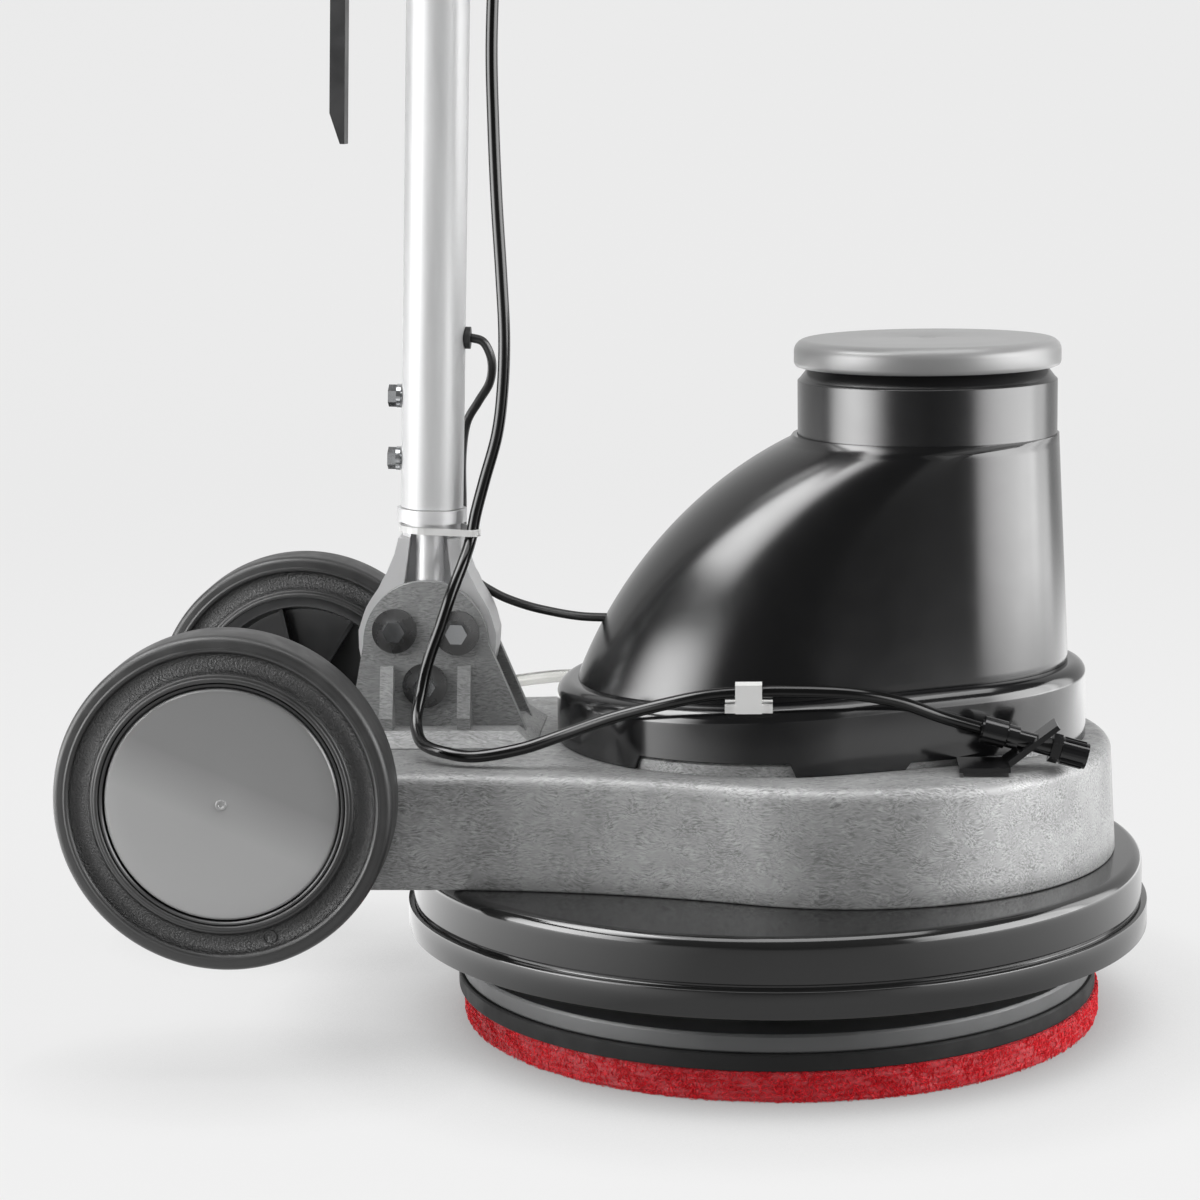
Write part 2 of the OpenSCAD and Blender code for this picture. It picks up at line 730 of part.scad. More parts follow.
module cable_grommet() {
    color(rubber) on_handle() translate([0, 0, grommet_z]) rotate([0, 90, 0]) difference() {
        union() {
            translate([0, 0, 17]) cylinder(r = 6.4, h = 5);
            translate([0, 0, tube_r]) cylinder(r = 7.4, h = 3.5);
        }
        translate([0, 0, 10]) cylinder(r = 3.1, h = 30);
    }
}

module motor_cable() {
    color(black) sweep(smooth_route(lead_route, 3), lead_r, 8);
}

module solution_hose() {
    color(black) sweep(smooth_route(hose_route, 2), hose_r, 10);
}

module clear_tube() {
    color([0.9, 0.9, 0.88]) sweep(smooth_route(clear_route, 4), clear_r, 10);
}

// Tie round the foot's neck and the hose.
module cable_tie() {
    color("white") on_handle() translate([0, 0, 76.5]) linear_extrude(4.5) difference() {
        tie_outline(2);
        tie_outline(0.6);
    }
}

module tie_outline(grow) {
    polygon([for (p = pill_turned) p + grow * unit(p - [4, -3])]);
}

pill_turned = let (a = -33, o = pill(0, 20, 33.2, 5.2, 12))
    [for (p = o) [p[0] * cos(a) - p[1] * sin(a), p[0] * sin(a) + p[1] * cos(a)]];

module hose_clip() {
    color("white") difference() {
        union() {
            box_from([clip_x - 15, clip_y - 4, clip_z - 12.7], [clip_x + 15, clip_y + 12, clip_z - 7.2]);
            box_from([clip_x - 8.4, clip_y - 6.5, clip_z - 12.7], [clip_x + 8.4, clip_y + 6.5, clip_z + 5.5]);
        }
        translate([clip_x - 20, clip_y, clip_z]) rotate([0, 90, 0]) cylinder(r = 4.7, h = 40);
        translate([clip_x, 0, ring_z1 - ring_fall * (ring_nose_x - clip_x)]) rotate([0, -atan(ring_fall), 0])
            translate([-clip_x, 0, -ring_z1]) clip_seat();
    }
}

// Space of the ring's rounded shoulder under the clip.
module clip_seat() {
    rotate_extrude() polygon(concat([[100, 200], [ring_r + 0.2, 200]],
        arc([ring_r - ring_round, ring_wall_z1], ring_round + 0.2, 0, 90, 8), [[100, ring_z1 + 0.2]]));
}

// ---- Spray nozzle ----

module nozzle_spacer() {
    color(black) box_from([124, -138, chassis_z1], [152, -109, chassis_z1 + 3]);
}

module nozzle_bracket() {
    color(steel) difference() {
        union() {
            box_from([121, -141, chassis_z1 + 3], [153, -107, chassis_z1 + 6]);
            translate([151, -105, chassis_z1 + 3]) rotate([90, 0, 0]) linear_extrude(24)
                polygon([[-1, 0], [2, 0], [34, 25.2], [32, 27.8], [-1, 3]]);
        }
        on_nozzle() translate([0, 0, -5]) cylinder(r = 6.05, h = 90);
    }
}

module nozzle_body() {
    color(black) on_nozzle() difference() {
        union() {
            cylinder(r = 6, h = 62);
            translate([0, 0, 17]) cylinder(r = 7.5, h = 7);
        }
        translate([0, 0, -1]) cylinder(r = 2, h = 80);
    }
}

module nozzle_nuts() {
    color(black) on_nozzle() {
        translate([0, 0, 1]) washer(8.8, 6.02, 15);
        translate([0, 0, 45.5]) difference() {
            cylinder(r = 9.6, h = 6, $fn = 6);
            translate([0, 0, -1]) cylinder(r = 6.02, h = 8);
        }
    }
}

module nozzle_cap() {
    color(black) on_nozzle() translate([0, 0, 52]) difference() {
        union() {
            cylinder(r = 8.4, h = 17);
            translate([0, 0, 1]) for (a = [0 : 30 : 330])
                rotate([0, 0, a]) translate([7.8, -0.8, 0]) cube([1.2, 1.6, 14]);
        }
        translate([0, 0, -1]) cylinder(r = 6 + fit, h = 11.5);
        cylinder(r = 1.5, h = 30);
    }
}

// ---- Cable hooks ----

// Hook blade that points along +Z from its arm at the origin, behind the drawbar.
module hook_blade(length) {
    translate([-70, 9, 0]) rotate([90, 0, 0]) linear_extrude(18) polygon([[0, -8], [10, -8], [10, length],
        [7, length], [0, length - 20]]);
}

module lower_cable_hook() {
    color(black) on_handle() translate([0, 0, 474]) {
        mirror([0, 0, 1]) hook_blade(141);
        box_from([-66, -9, -8], [-24.4, 9, 8]);
        difference() {
            translate([0, 0, -12]) cylinder(r = 25, h = 24);
            translate([0, 0, -13]) cylinder(r = tube_r, h = 26);
        }
    }
}

hook_z = 700;
boss_x = -40;

module upper_cable_hook() {
    color(black) on_handle() translate([0, 0, hook_z]) {
        hook_blade(112);
        translate([-66, 0, 0]) rotate([0, 90, 0]) cylinder(r = 8, h = 66 + boss_x - 0.4);
        translate([boss_x - 1, 0, 0]) rotate([0, 90, 0]) cylinder(r = 5, h = 12);
    }
}

// ---- Tank ----

module tank_bracket() {
    color(black) on_handle() {
        difference() {
            union() {
                box_from([22, -30, tank_z0 + 10], [tank_x0 - 0.05, 30, hook_z + 12]);
                for (z = [tank_z0 + 20, hook_z])
                    translate([0, 0, z - 11]) cylinder(r = 25, h = 22);
                translate([-26, 0, hook_z]) rotate([0, -90, 0]) cylinder(r = 10, h = -boss_x - 26);
                translate([-20, 0, hook_z]) rotate([0, -90, 0]) cylinder(r = 10, h = 10);
            }
            translate([0, 0, tank_z0]) cylinder(r = tube_r, h = 260);
            translate([-28, 0, hook_z]) rotate([0, -90, 0]) cylinder(r = 5 + fit, h = 20);
        }
    }
}

module solution_tank() {
    color([0.15, 0.16, 0.18]) on_handle() {
        difference() {
            union() {
                rounded_box([tank_x0, -tank_y, tank_z0], [tank_x1, tank_y, tank_z1], 28);
                translate([cap_x, 0, tank_z1 - 1]) cylinder(r = 28, h = 14);
                translate([outlet[0], outlet[1], tank_z0 - 10]) cylinder(r = 7, h = 12);
            }
            rounded_box([tank_x0 + 3, -tank_y + 3, tank_z0 + 3], [tank_x1 - 3, tank_y - 3, tank_z1 - 3], 25);
            translate([cap_x, 0, tank_z1 - 10]) cylinder(r = 25, h = 40);
            translate([outlet[0], outlet[1], tank_z0 - 12]) cylinder(r = 2.5, h = 20);
        }
    }
}

module tank_cap() {
    color(black) on_handle() translate([cap_x, 0, tank_z1 + 0.4]) difference() {
        union() {
            cylinder(r = 34, h = 18);
            for (a = [0 : 20 : 340])
                rotate([0, 0, a]) translate([33, -2, 0]) cube([2.5, 4, 17]);
        }
        translate([0, 0, -1]) cylinder(r = 28.3, h = 14.5);
    }
}

// ---- Handle head ----

module head_shell_lower() {
    color(black) on_handle() difference() {
        rounded_box([head_x0, -head_y, head_z0], [head_x1, head_y, head_mid], 16);
        difference() {
            rounded_box([head_x0 + head_wall, -head_y + head_wall, head_z0 + head_wall],
                [head_x1 - head_wall, head_y - head_wall, head_mid + 5], 13);
            box_from([-37, -33, head_z0], [37, 33, head_mid + 10]);
        }
        box_from([-33, -23, head_z0 - 1], [33, 23, head_mid + 1]);
        translate([0, 60, pivot_z]) rotate([90, 0, 0]) cylinder(r = pin_r + fit, h = 120);
        translate([head_x1 - 10, 0, pivot_z + 4]) rotate([0, 90, 0]) cylinder(r = 8.02, h = 20);
        translate([bar_x, 60, bar_z]) rotate([90, 0, 0]) cylinder(r = bar_r + 0.02, h = 120);
    }
}

module head_shell_upper() {
    color(black) on_handle() difference() {
        union() {
            rounded_box([head_x0, -head_y, head_mid], [head_x1, head_y, head_z1 - 8], 16);
            rounded_box([head_x0 + 4, -head_y + 4, head_z1 - 9], [head_x1 - 4, head_y - 4, head_z1 - 3], 13);
            rounded_box([head_x0 + 9, -head_y + 9, head_z1 - 4], [head_x1 - 9, head_y - 9, head_z1], 10);
        }
        rounded_box([head_x0 + head_wall, -head_y + head_wall, head_mid - 5],
            [head_x1 - head_wall, head_y - head_wall, head_z1 - 12], 13);
        translate([bar_x, 60, bar_z]) rotate([90, 0, 0]) cylinder(r = bar_r + 0.02, h = 120);
        translate([lock_at[0], lock_at[1], head_mid]) cylinder(r = 10.3, h = 80);
        translate([spray_at[0], spray_at[1], head_mid]) cylinder(r = 8.3, h = 80);
    }
}

lock_at = [-20, 0];
spray_at = [16, 22];

// Push button with a flange that keeps it in the shell.
module push_button(at, r) {
    on_handle() translate([at[0], at[1], 0]) {
        translate([0, 0, head_z1 - 18]) cylinder(r = r, h = 26);
        translate([0, 0, head_z1 - 15]) cylinder(r = r + 3, h = 2.6);
    }
}

module lock_button() {
    color("gold") push_button(lock_at, 10);
}

module spray_button() {
    color("royalblue") push_button(spray_at, 8);
}

module handlebar() {
    end_y = bar_half + bend_r;
    color(steel) on_handle() {
        translate([bar_x, bar_half, bar_z]) rotate([90, 0, 0]) cylinder(r = bar_r, h = 2 * bar_half);
        for (side = [-1, 1]) {
            translate([bar_x - bend_r, side * bar_half, bar_z]) rotate([0, 0, side > 0 ? 0 : -90])
                rotate_extrude(angle = 90) translate([bend_r, 0]) circle(r = bar_r);
            translate([grip_x0 + 4, side * end_y, bar_z]) rotate([0, 90, 0])
                cylinder(r = bar_r, h = bar_x - bend_r - grip_x0 - 4);
            lever_lug(side * end_y);
        }
    }
}

lever_x = -112;
lever_z = bar_z - 25;

module lever_lug(y) {
    difference() {
        union() {
            box_from([lever_x - 6, y - 4, lever_z], [lever_x + 6, y + 4, bar_z - 6]);
            translate([lever_x, y + 4, lever_z]) rotate([90, 0, 0]) cylinder(r = 6, h = 8);
        }
        translate([lever_x, y + 6, lever_z]) rotate([90, 0, 0]) cylinder(r = 3 + fit, h = 12);
    }
}

module handle_grips() {
    color(rubber) on_handle() for (side = [-1, 1])
        translate([grip_x0, side * (bar_half + bend_r), bar_z]) rotate([0, 90, 0]) difference() {
            union() {
                cylinder(r = grip_r, h = grip_x1 - grip_x0 - 3);
                translate([0, 0, grip_x1 - grip_x0 - 8]) cylinder(r = grip_r + 4, h = 5);
                cylinder(r = grip_r + 2, h = 6);
            }
            translate([0, 0, 4]) cylinder(r = bar_r + 0.02, h = 130);
        }
}

// Lever under one grip, on a pin through the bar's lug.
module switch_lever(side) {
    y = side * (bar_half + bend_r);
    color([0.75, 0.1, 0.12]) on_handle() {
        translate([lever_x, y + 9, lever_z]) rotate([90, 0, 0]) cylinder(r = 3, h = 18);
        for (k = [-1, 1])
            translate([lever_x, y + k * 7 + 2.2, lever_z]) rotate([90, 0, 0]) linear_extrude(4.4)
                polygon([[7, -6], [7, 5], [-12, 5], [-26, -2], [-26, -8]]);
        translate([0, y + 9.2, lever_z]) rotate([90, 0, 0]) linear_extrude(18.4)
            polygon([[lever_x - 24, -8], [lever_x - 24, -2], [grip_x0 + 20, -6], [grip_x0 + 8, -12], [grip_x0 + 12, -15],
                [grip_x0 + 24, -11]]);
    }
}

module left_switch_lever() switch_lever(1);
module right_switch_lever() switch_lever(-1);

module cord_gland() {
    color(rubber) on_handle() translate([head_x1, 0, pivot_z + 4]) rotate([0, 90, 0]) difference() {
        union() {
            translate([0, 0, -8]) cylinder(r = 8, h = 9);
            cylinder(r = 11, h = 5);
            translate([0, 0, 4]) cylinder(r = 8.5, h = 16);
        }
        translate([0, 0, -10]) cylinder(r = 4.2, h = 50);
    }
}

// Clamp lever and its through pin, on the right side of the head.
module tilt_lever() {
    color(steel) on_handle() translate([0, 0, pivot_z]) {
        translate([0, 46, 0]) rotate([90, 0, 0]) cylinder(r = pin_r, h = 106);
        translate([0, -head_y - 1.2, 0]) rotate([90, 0, 0]) cylinder(r = 13, h = 12);
        translate([0, -head_y - 4, 0]) rotate([90, 0, 0]) linear_extrude(8)
            polygon([[-9, 0], [9, 0], [8, -60], [4, -66], [-4, -66], [-8, -60]]);
    }
}

chassis_casting();
handle_bracket();
underside_screws();
belt_cover();
bumper_skirt();
scrub_pad();
pad_driver();
grip_ring();
hub_bearing();
eccentric_shaft();
driven_pulley();
ball_bearings();
drive_belt();
motor_pulley();
motor_rotor();
motor_stator();
motor_end_shields();
cooling_fan();
motor_hood();
motor_base_ring();
hood_cap();
start_capacitor();
tube_foot();
foot_bolts();
foot_washers();
drawbar_tube();
tube_screws();
cable_grommet();
motor_cable();
solution_hose();
clear_tube();
cable_tie();
hose_clip();
nozzle_bracket();
nozzle_spacer();
nozzle_body();
nozzle_nuts();
nozzle_cap();
wheel_axle();
left_rim();
right_rim();
left_tyre();
right_tyre();
left_hub_cap();
right_hub_cap();
lower_cable_hook();
upper_cable_hook();
tank_bracket();
solution_tank();
tank_cap();
head_shell_lower();
head_shell_upper();
handlebar();
handle_grips();
left_switch_lever();
right_switch_lever();
lock_button();
spray_button();
cord_gland();
tilt_lever();
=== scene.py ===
import json
import math
import random

import bpy
from mathutils import Matrix, Vector

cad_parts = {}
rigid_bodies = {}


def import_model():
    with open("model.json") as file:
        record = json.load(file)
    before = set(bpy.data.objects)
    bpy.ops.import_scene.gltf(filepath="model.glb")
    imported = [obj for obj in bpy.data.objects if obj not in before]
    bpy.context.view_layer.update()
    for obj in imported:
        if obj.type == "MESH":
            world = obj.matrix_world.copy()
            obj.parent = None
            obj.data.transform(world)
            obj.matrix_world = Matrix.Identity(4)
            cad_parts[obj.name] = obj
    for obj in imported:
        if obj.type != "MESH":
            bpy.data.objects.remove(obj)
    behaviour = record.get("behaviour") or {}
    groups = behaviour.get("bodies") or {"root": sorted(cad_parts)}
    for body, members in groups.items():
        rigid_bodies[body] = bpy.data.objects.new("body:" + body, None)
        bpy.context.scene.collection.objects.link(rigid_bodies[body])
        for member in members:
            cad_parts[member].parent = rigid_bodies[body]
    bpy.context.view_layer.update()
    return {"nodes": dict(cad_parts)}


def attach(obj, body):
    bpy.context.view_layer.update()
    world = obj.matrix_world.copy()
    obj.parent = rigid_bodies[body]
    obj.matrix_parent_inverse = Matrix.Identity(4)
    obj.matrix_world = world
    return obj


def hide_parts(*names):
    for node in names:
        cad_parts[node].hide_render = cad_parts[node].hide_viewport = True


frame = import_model()
NODES = frame["nodes"]
random.seed(7)
MM = 0.001


# ---------------------------------------------------------------- driving sizes, in millimetres

PAD_T = 21
PAD_SIDE_R = 214.9
DISC_X = 4
PAD_X = DISC_X + 3
GRIP_R = 216.5
PLATE_R = 214
PLATE_Z0, PLATE_Z1 = 32, 44
SKIRT_R, SKIRT_X = 250, 4.5
SKIRT_Z0 = 64
CHASSIS_R, ROUND_X = 181, 52
CHASSIS_Z0, CHASSIS_Z1 = 114, 189
TAIL_X, TAIL_W, TAIL_CORNER, WAIST_R = -300, 134, 24, 600
MOTOR_X = 107
RING_R, RING_NOSE_R = 142, 106
RING_NOSE_X = MOTOR_X + RING_NOSE_R
RING_WALL_Z1, RING_ROUND = 231, 10
RING_Z1 = RING_WALL_Z1 + RING_ROUND
RING_FALL = 0.034
HOOD_T = 3
NECK_R, NECK_Z0, NECK_Z1 = 85.7, 392, 429
CAP_R, CAP_Z0, CAP_Z1 = 88, 437, 455
WHEEL_R, WHEEL_X, WHEEL_Y = 107.5, -340.7, 183
AXLE_Z = 181.5
TYRE_W = 40
HOSE_R, LEAD_R, CLEAR_R = 4, 3, 4.5


def cosd(angle):
    return math.cos(math.radians(angle))


def sind(angle):
    return math.sin(math.radians(angle))


# ---------------------------------------------------------------- camera

CAMERA_PLACE = (0.010, -2.0, 0.612)
CAMERA_YAW, CAMERA_PITCH, CAMERA_ROLL = -3.5, 9.4, -0.9
CAMERA_LENS, CAMERA_SENSOR = 90.3, 36


def make_camera():
    yaw, pitch, roll = CAMERA_YAW, CAMERA_PITCH, CAMERA_ROLL
    ahead = Vector((sind(yaw) * cosd(pitch), cosd(yaw) * cosd(pitch), -sind(pitch)))
    level_right = Vector((cosd(yaw), -sind(yaw), 0))
    level_up = level_right.cross(ahead)
    right = level_right * cosd(roll) + level_up * sind(roll)
    up = level_up * cosd(roll) - level_right * sind(roll)
    data = bpy.data.cameras.new("camera")
    data.sensor_width = CAMERA_SENSOR
    data.lens = CAMERA_LENS
    data.clip_start = 0.05
    data.clip_end = 60
    cam = bpy.data.objects.new("camera", data)
    pose = Matrix((right, up, -ahead)).transposed().to_4x4()
    pose.translation = Vector(CAMERA_PLACE)
    cam.matrix_world = pose
    bpy.context.scene.collection.objects.link(cam)
    bpy.context.scene.camera = cam


make_camera()


# ---------------------------------------------------------------- node helpers

class Tree:
    """A node tree, built one node at a time."""

    def __init__(self, tree):
        self.tree = tree

    def node(self, kind, **values):
        n = self.tree.nodes.new(kind)
        for k, v in values.items():
            setattr(n, k, v)
        return n

    def link(self, a, b):
        self.tree.links.new(a, b)

    def calc(self, operation, a, b):
        """Arithmetic on two values, each a number or a socket."""
        n = self.node("ShaderNodeMath", operation=operation)
        for i, v in enumerate((a, b)):
            if isinstance(v, (int, float)):
                n.inputs[i].default_value = v
            else:
                self.link(v, n.inputs[i])
        return n.outputs[0]

    def spread(self, value, low, high, from_low=0.3, from_high=0.7):
        """The value, taken from one range to another and held at its ends."""
        n = self.node("ShaderNodeMapRange")
        n.inputs["From Min"].default_value = from_low
        n.inputs["From Max"].default_value = from_high
        n.inputs["To Min"].default_value = low
        n.inputs["To Max"].default_value = high
        self.link(value, n.inputs["Value"])
        return n.outputs[0]


def new_material(name):
    mat = bpy.data.materials.new(name)
    mat.use_nodes = True
    mat.node_tree.nodes.clear()
    return mat


class Shader(Tree):
    """A material with one principled surface."""

    def __init__(self, name):
        self.mat = new_material(name)
        super().__init__(self.mat.node_tree)
        out = self.node("ShaderNodeOutputMaterial")
        self.bsdf = self.node("ShaderNodeBsdfPrincipled")
        self.link(self.bsdf.outputs[0], out.inputs[0])
        self.coord = self.node("ShaderNodeTexCoord").outputs["Object"]

    def set(self, **values):
        for k, v in values.items():
            self.bsdf.inputs[k.replace("_", " ")].default_value = v

    def to(self, value, socket):
        self.link(value, self.bsdf.inputs[socket])

    def noise(self, scale, detail=3, rough=0.5, vector=None, output=0):
        n = self.node("ShaderNodeTexNoise")
        n.inputs["Scale"].default_value = scale
        n.inputs["Detail"].default_value = detail
        n.inputs["Roughness"].default_value = rough
        self.link(vector or self.coord, n.inputs["Vector"])
        return n.outputs[output]

    def mapping(self, vector=None, scale=(1, 1, 1), rotation=(0, 0, 0)):
        n = self.node("ShaderNodeMapping")
        n.inputs["Scale"].default_value = scale
        n.inputs["Rotation"].default_value = [math.radians(a) for a in rotation]
        self.link(vector or self.coord, n.inputs["Vector"])
        return n.outputs[0]

    def warp(self, scale, amount):
        """The coordinates, pushed about by noise."""
        centred = self.node("ShaderNodeVectorMath", operation="SUBTRACT")
        self.link(self.noise(scale, 1, output="Color"), centred.inputs[0])
        centred.inputs[1].default_value = (0.5, 0.5, 0.5)
        push = self.node("ShaderNodeVectorMath", operation="SCALE")
        self.link(centred.outputs[0], push.inputs[0])
        push.inputs["Scale"].default_value = amount
        pushed = self.node("ShaderNodeVectorMath", operation="ADD")
        self.link(self.coord, pushed.inputs[0])
        self.link(push.outputs[0], pushed.inputs[1])
        return pushed.outputs[0]

    def ramp(self, value, stops):
        n = self.node("ShaderNodeValToRGB")
        while len(n.color_ramp.elements) < len(stops):
            n.color_ramp.elements.new(0.5)
        for element, (place, colour) in zip(n.color_ramp.elements, stops):
            element.position = place
            element.color = (*colour, 1)
        self.link(value, n.inputs[0])
        return n.outputs[0]

    def bump(self, height, strength, distance):
        n = self.node("ShaderNodeBump")
        n.inputs["Strength"].default_value = strength
        n.inputs["Distance"].default_value = distance
        self.link(height, n.inputs["Height"])
        return n.outputs[0]


def scaled(colour, k):
    return tuple(min(1.0, v * k) for v in colour)


# ---------------------------------------------------------------- materials

def plain(name, colour, rough, metal=0.0, vary=0.08, grain=900, depth=0.00003, rough_vary=0.15, **extra):
    """A moulded, painted or turned surface: faint mottling, uneven gloss and a fine grain."""
    s = Shader(name)
    s.set(Metallic=metal, **extra)
    mottle = s.noise(22, 4)
    s.to(s.ramp(mottle, [(0.3, scaled(colour, 1 - vary)), (0.7, scaled(colour, 1 + vary))]), "Base Color")
    s.to(s.spread(s.noise(60, 3), rough * (1 - rough_vary), rough * (1 + rough_vary)), "Roughness")
    s.to(s.bump(s.noise(grain, 2), 0.3, depth), "Normal")
    return s.mat


def plate(name, low, high, rough, slope, middle):
    """Smooth plate with painted light and shade: its tone runs softly from light to dark across it, on a
    slant.
    """
    s = Shader(name)
    axes = s.node("ShaderNodeSeparateXYZ")
    s.link(s.coord, axes.inputs[0])
    slant = s.calc("ADD", s.calc("MULTIPLY", axes.outputs[0], slope), axes.outputs[2])
    painted_shade_run = s.spread(slant, 0, 1, middle - 0.07, middle + 0.06)
    s.to(s.ramp(painted_shade_run, [(0.0, low), (0.42, low), (0.7, high), (1.0, high)]), "Base Color")
    s.to(s.spread(s.noise(60, 3), rough * 0.95, rough * 1.05), "Roughness")
    return s.mat


SWIRL_TURNS = ((0, 88, 12), (20, 60, 75), (70, 25, 130), (15, 105, 35))


def swirl(name, colour, rough, contrast):
    """Cast alloy ground with short curved strokes that cross each other."""
    s = Shader(name)
    s.set(Metallic=0.08)
    bent = s.warp(55, 0.010)
    total = None
    for k, turn in enumerate(SWIRL_TURNS):
        strokes = s.noise(1, 3, 0.65, s.mapping(bent, (170, 950, 950), turn))
        patches = s.noise(75 + 14 * k, 1, vector=s.mapping(rotation=(31 * k, 17 * k, 5)))
        layer = s.calc("MULTIPLY", s.calc("SUBTRACT", strokes, 0.5), s.spread(patches, 0, 1, 0.42, 0.6))
        total = layer if total is None else s.calc("ADD", total, layer)
    cloud = s.calc("MULTIPLY", s.calc("SUBTRACT", s.noise(30, 5, 0.6), 0.5), 0.5)
    tone = s.calc("ADD", s.calc("ADD", total, cloud), 0.5)
    stops = [(0.25, scaled(colour, 1 - contrast)), (0.5, colour), (0.78, scaled(colour, 1 + contrast))]
    s.to(s.ramp(tone, stops), "Base Color")
    s.to(s.spread(tone, rough * 1.2, rough * 0.85), "Roughness")
    s.to(s.bump(tone, 0.35, 0.00035), "Normal")
    return s.mat


def brushed(name, colour, rough, stretch, depth=0.00003, metal=1.0):
    """Metal drawn or brushed one way."""
    s = Shader(name)
    s.set(Metallic=metal)
    lines = s.noise(1, 3, 0.6, s.mapping(scale=stretch))
    s.to(s.ramp(lines, [(0.3, scaled(colour, 0.93)), (0.7, scaled(colour, 1.05))]), "Base Color")
    s.to(s.spread(lines, rough * 0.85, rough * 1.2), "Roughness")
    s.to(s.bump(lines, 0.25, depth), "Normal")
    return s.mat


def grained(name, colour, rough, grain, depth):
    """Rubber or felted fibre with a coarse grain."""
    s = Shader(name)
    speckle = s.noise(grain, 3, 0.7)
    s.to(s.ramp(speckle, [(0.35, scaled(colour, 0.7)), (0.7, scaled(colour, 1.5))]), "Base Color")
    s.to(s.spread(s.noise(70, 2), rough * 0.8, rough * 1.2), "Roughness")
    s.to(s.bump(speckle, 0.6, depth), "Normal")
    return s.mat


def clear_plastic(name):
    """Milky tube that lets most light through."""
    s = Shader(name)
    s.set(IOR=1.45, Transmission_Weight=0.85)
    s.to(s.ramp(s.noise(40, 3), [(0.3, (0.80, 0.80, 0.76)), (0.7, (0.90, 0.90, 0.87))]), "Base Color")
    s.to(s.spread(s.noise(90, 2), 0.14, 0.26), "Roughness")
    return s.mat


def fibre(name):
    """Loose bright fibres of the pad."""
    s = Shader(name)
    stops = [(0.3, (0.70, 0.003, 0.010)), (0.55, (0.98, 0.008, 0.024)), (0.8, (1.0, 0.05, 0.08))]
    s.to(s.ramp(s.noise(260, 3, 0.7), stops), "Base Color")
    s.set(Specular_IOR_Level=0.2, Sheen_Weight=0.5, Sheen_Roughness=0.5, Sheen_Tint=(1.0, 0.10, 0.13, 1.0))
    s.to(s.spread(s.noise(500, 1), 0.45, 0.7), "Roughness")
    return s.mat


MAT = {
    "cast": swirl("cast_swirl", (0.26, 0.262, 0.262), 0.46, contrast=0.55),
    "cast_fine": swirl("cast_bracket", (0.27, 0.273, 0.273), 0.50, contrast=0.42),
    "cast_plain": plain("cast_machined", (0.42, 0.42, 0.42), 0.45, metal=0.8),
    "polished": plain("polished_alloy", (0.64, 0.64, 0.645), 0.40, metal=0.10, vary=0.02, grain=500,
                      depth=0.000004, rough_vary=0.1),
    "anodised": brushed("anodised_alloy", (0.60, 0.603, 0.606), 0.42, stretch=(60, 60, 6), metal=0.05),
    "zinc": plain("zinc_steel", (0.50, 0.51, 0.52), 0.22, metal=1.0, vary=0.10, grain=700, rough_vary=0.35),
    "dark_zinc": plain("washer_steel", (0.20, 0.20, 0.20), 0.28, metal=0.9, vary=0.45, grain=500,
                       depth=0.00004, rough_vary=0.4),
    # painted highlight: a light grey laid on the rounded edges of some metal nodes
    "edge": plain("bright_edge", (0.62, 0.62, 0.625), 0.32, metal=0.35),
    "motor": plain("motor_steel", (0.22, 0.23, 0.25), 0.45, metal=0.9),
    "hood": plain("hood_satin_black", (0.0025, 0.0025, 0.0028), 0.21, vary=0.10, grain=1400,
                  depth=0.000004, rough_vary=0.06),
    "neck": plain("neck_gloss_black", (0.006, 0.006, 0.0065), 0.24, vary=0.10, grain=1400,
                  depth=0.000004, rough_vary=0.06),
    "gloss": plain("gloss_black", (0.007, 0.007, 0.0075), 0.14, vary=0.10, grain=600, depth=0.00001),
    "skirt": plain("skirt_black", (0.012, 0.012, 0.012), 0.12, vary=0.10, grain=600, depth=0.00001),
    "satin": plain("satin_black", (0.014, 0.014, 0.015), 0.42),
    "rubber": plain("black_rubber", (0.016, 0.016, 0.016), 0.55, vary=0.15, grain=500, depth=0.00006),
    "hose": plain("hose_black", (0.003, 0.003, 0.003), 0.16, vary=0.1, grain=300, depth=0.000004,
                  Specular_IOR_Level=0.32),
    "cable": plain("cable_black", (0.008, 0.008, 0.008), 0.40, vary=0.1, grain=400, depth=0.00002),
    "tyre": plain("tyre_rubber", (0.026, 0.026, 0.026), 0.44, vary=0.15, grain=420, depth=0.00008,
                  rough_vary=0.2, Specular_IOR_Level=0.35),
    "tyre_grain": grained("tyre_grain", (0.006, 0.006, 0.006), 0.38, grain=620, depth=0.0016),
    "rim": plain("rim_black", (0.007, 0.007, 0.0075), 0.34),
    # painted light and shade: the hub disc is lighter towards its lower rear and darker towards its upper
    # front
    "hubcap": plate("hubcap_grey", (0.42, 0.42, 0.42), (0.26, 0.26, 0.26), 0.22, slope=0.45, middle=0.027),
    "cap": plain("cap_grey", (0.23, 0.23, 0.23), 0.33, vary=0.01, grain=60, depth=0.000001, rough_vary=0.02),
    "white": plain("white_plastic", (0.78, 0.78, 0.77), 0.40, vary=0.03),
    "driver": plain("driver_grey", (0.085, 0.087, 0.088), 0.45, vary=0.12, grain=300, depth=0.0002),
    "grip": plain("grip_dark", (0.005, 0.005, 0.005), 0.65, vary=0.2, grain=300, depth=0.0003,
                  Specular_IOR_Level=0.2),
    "pad": grained("pad_web", (0.52, 0.004, 0.014), 0.8, grain=700, depth=0.0012),
    "fibre": fibre("pad_fibre"),
    "clear": clear_plastic("clear_tube"),
    "red": plain("red_plastic", (0.50, 0.012, 0.016), 0.3),
    "yellow": plain("yellow_plastic", (0.75, 0.50, 0.02), 0.3),
    "blue": plain("blue_plastic", (0.02, 0.09, 0.42), 0.3),
}


# ---------------------------------------------------------------- cords

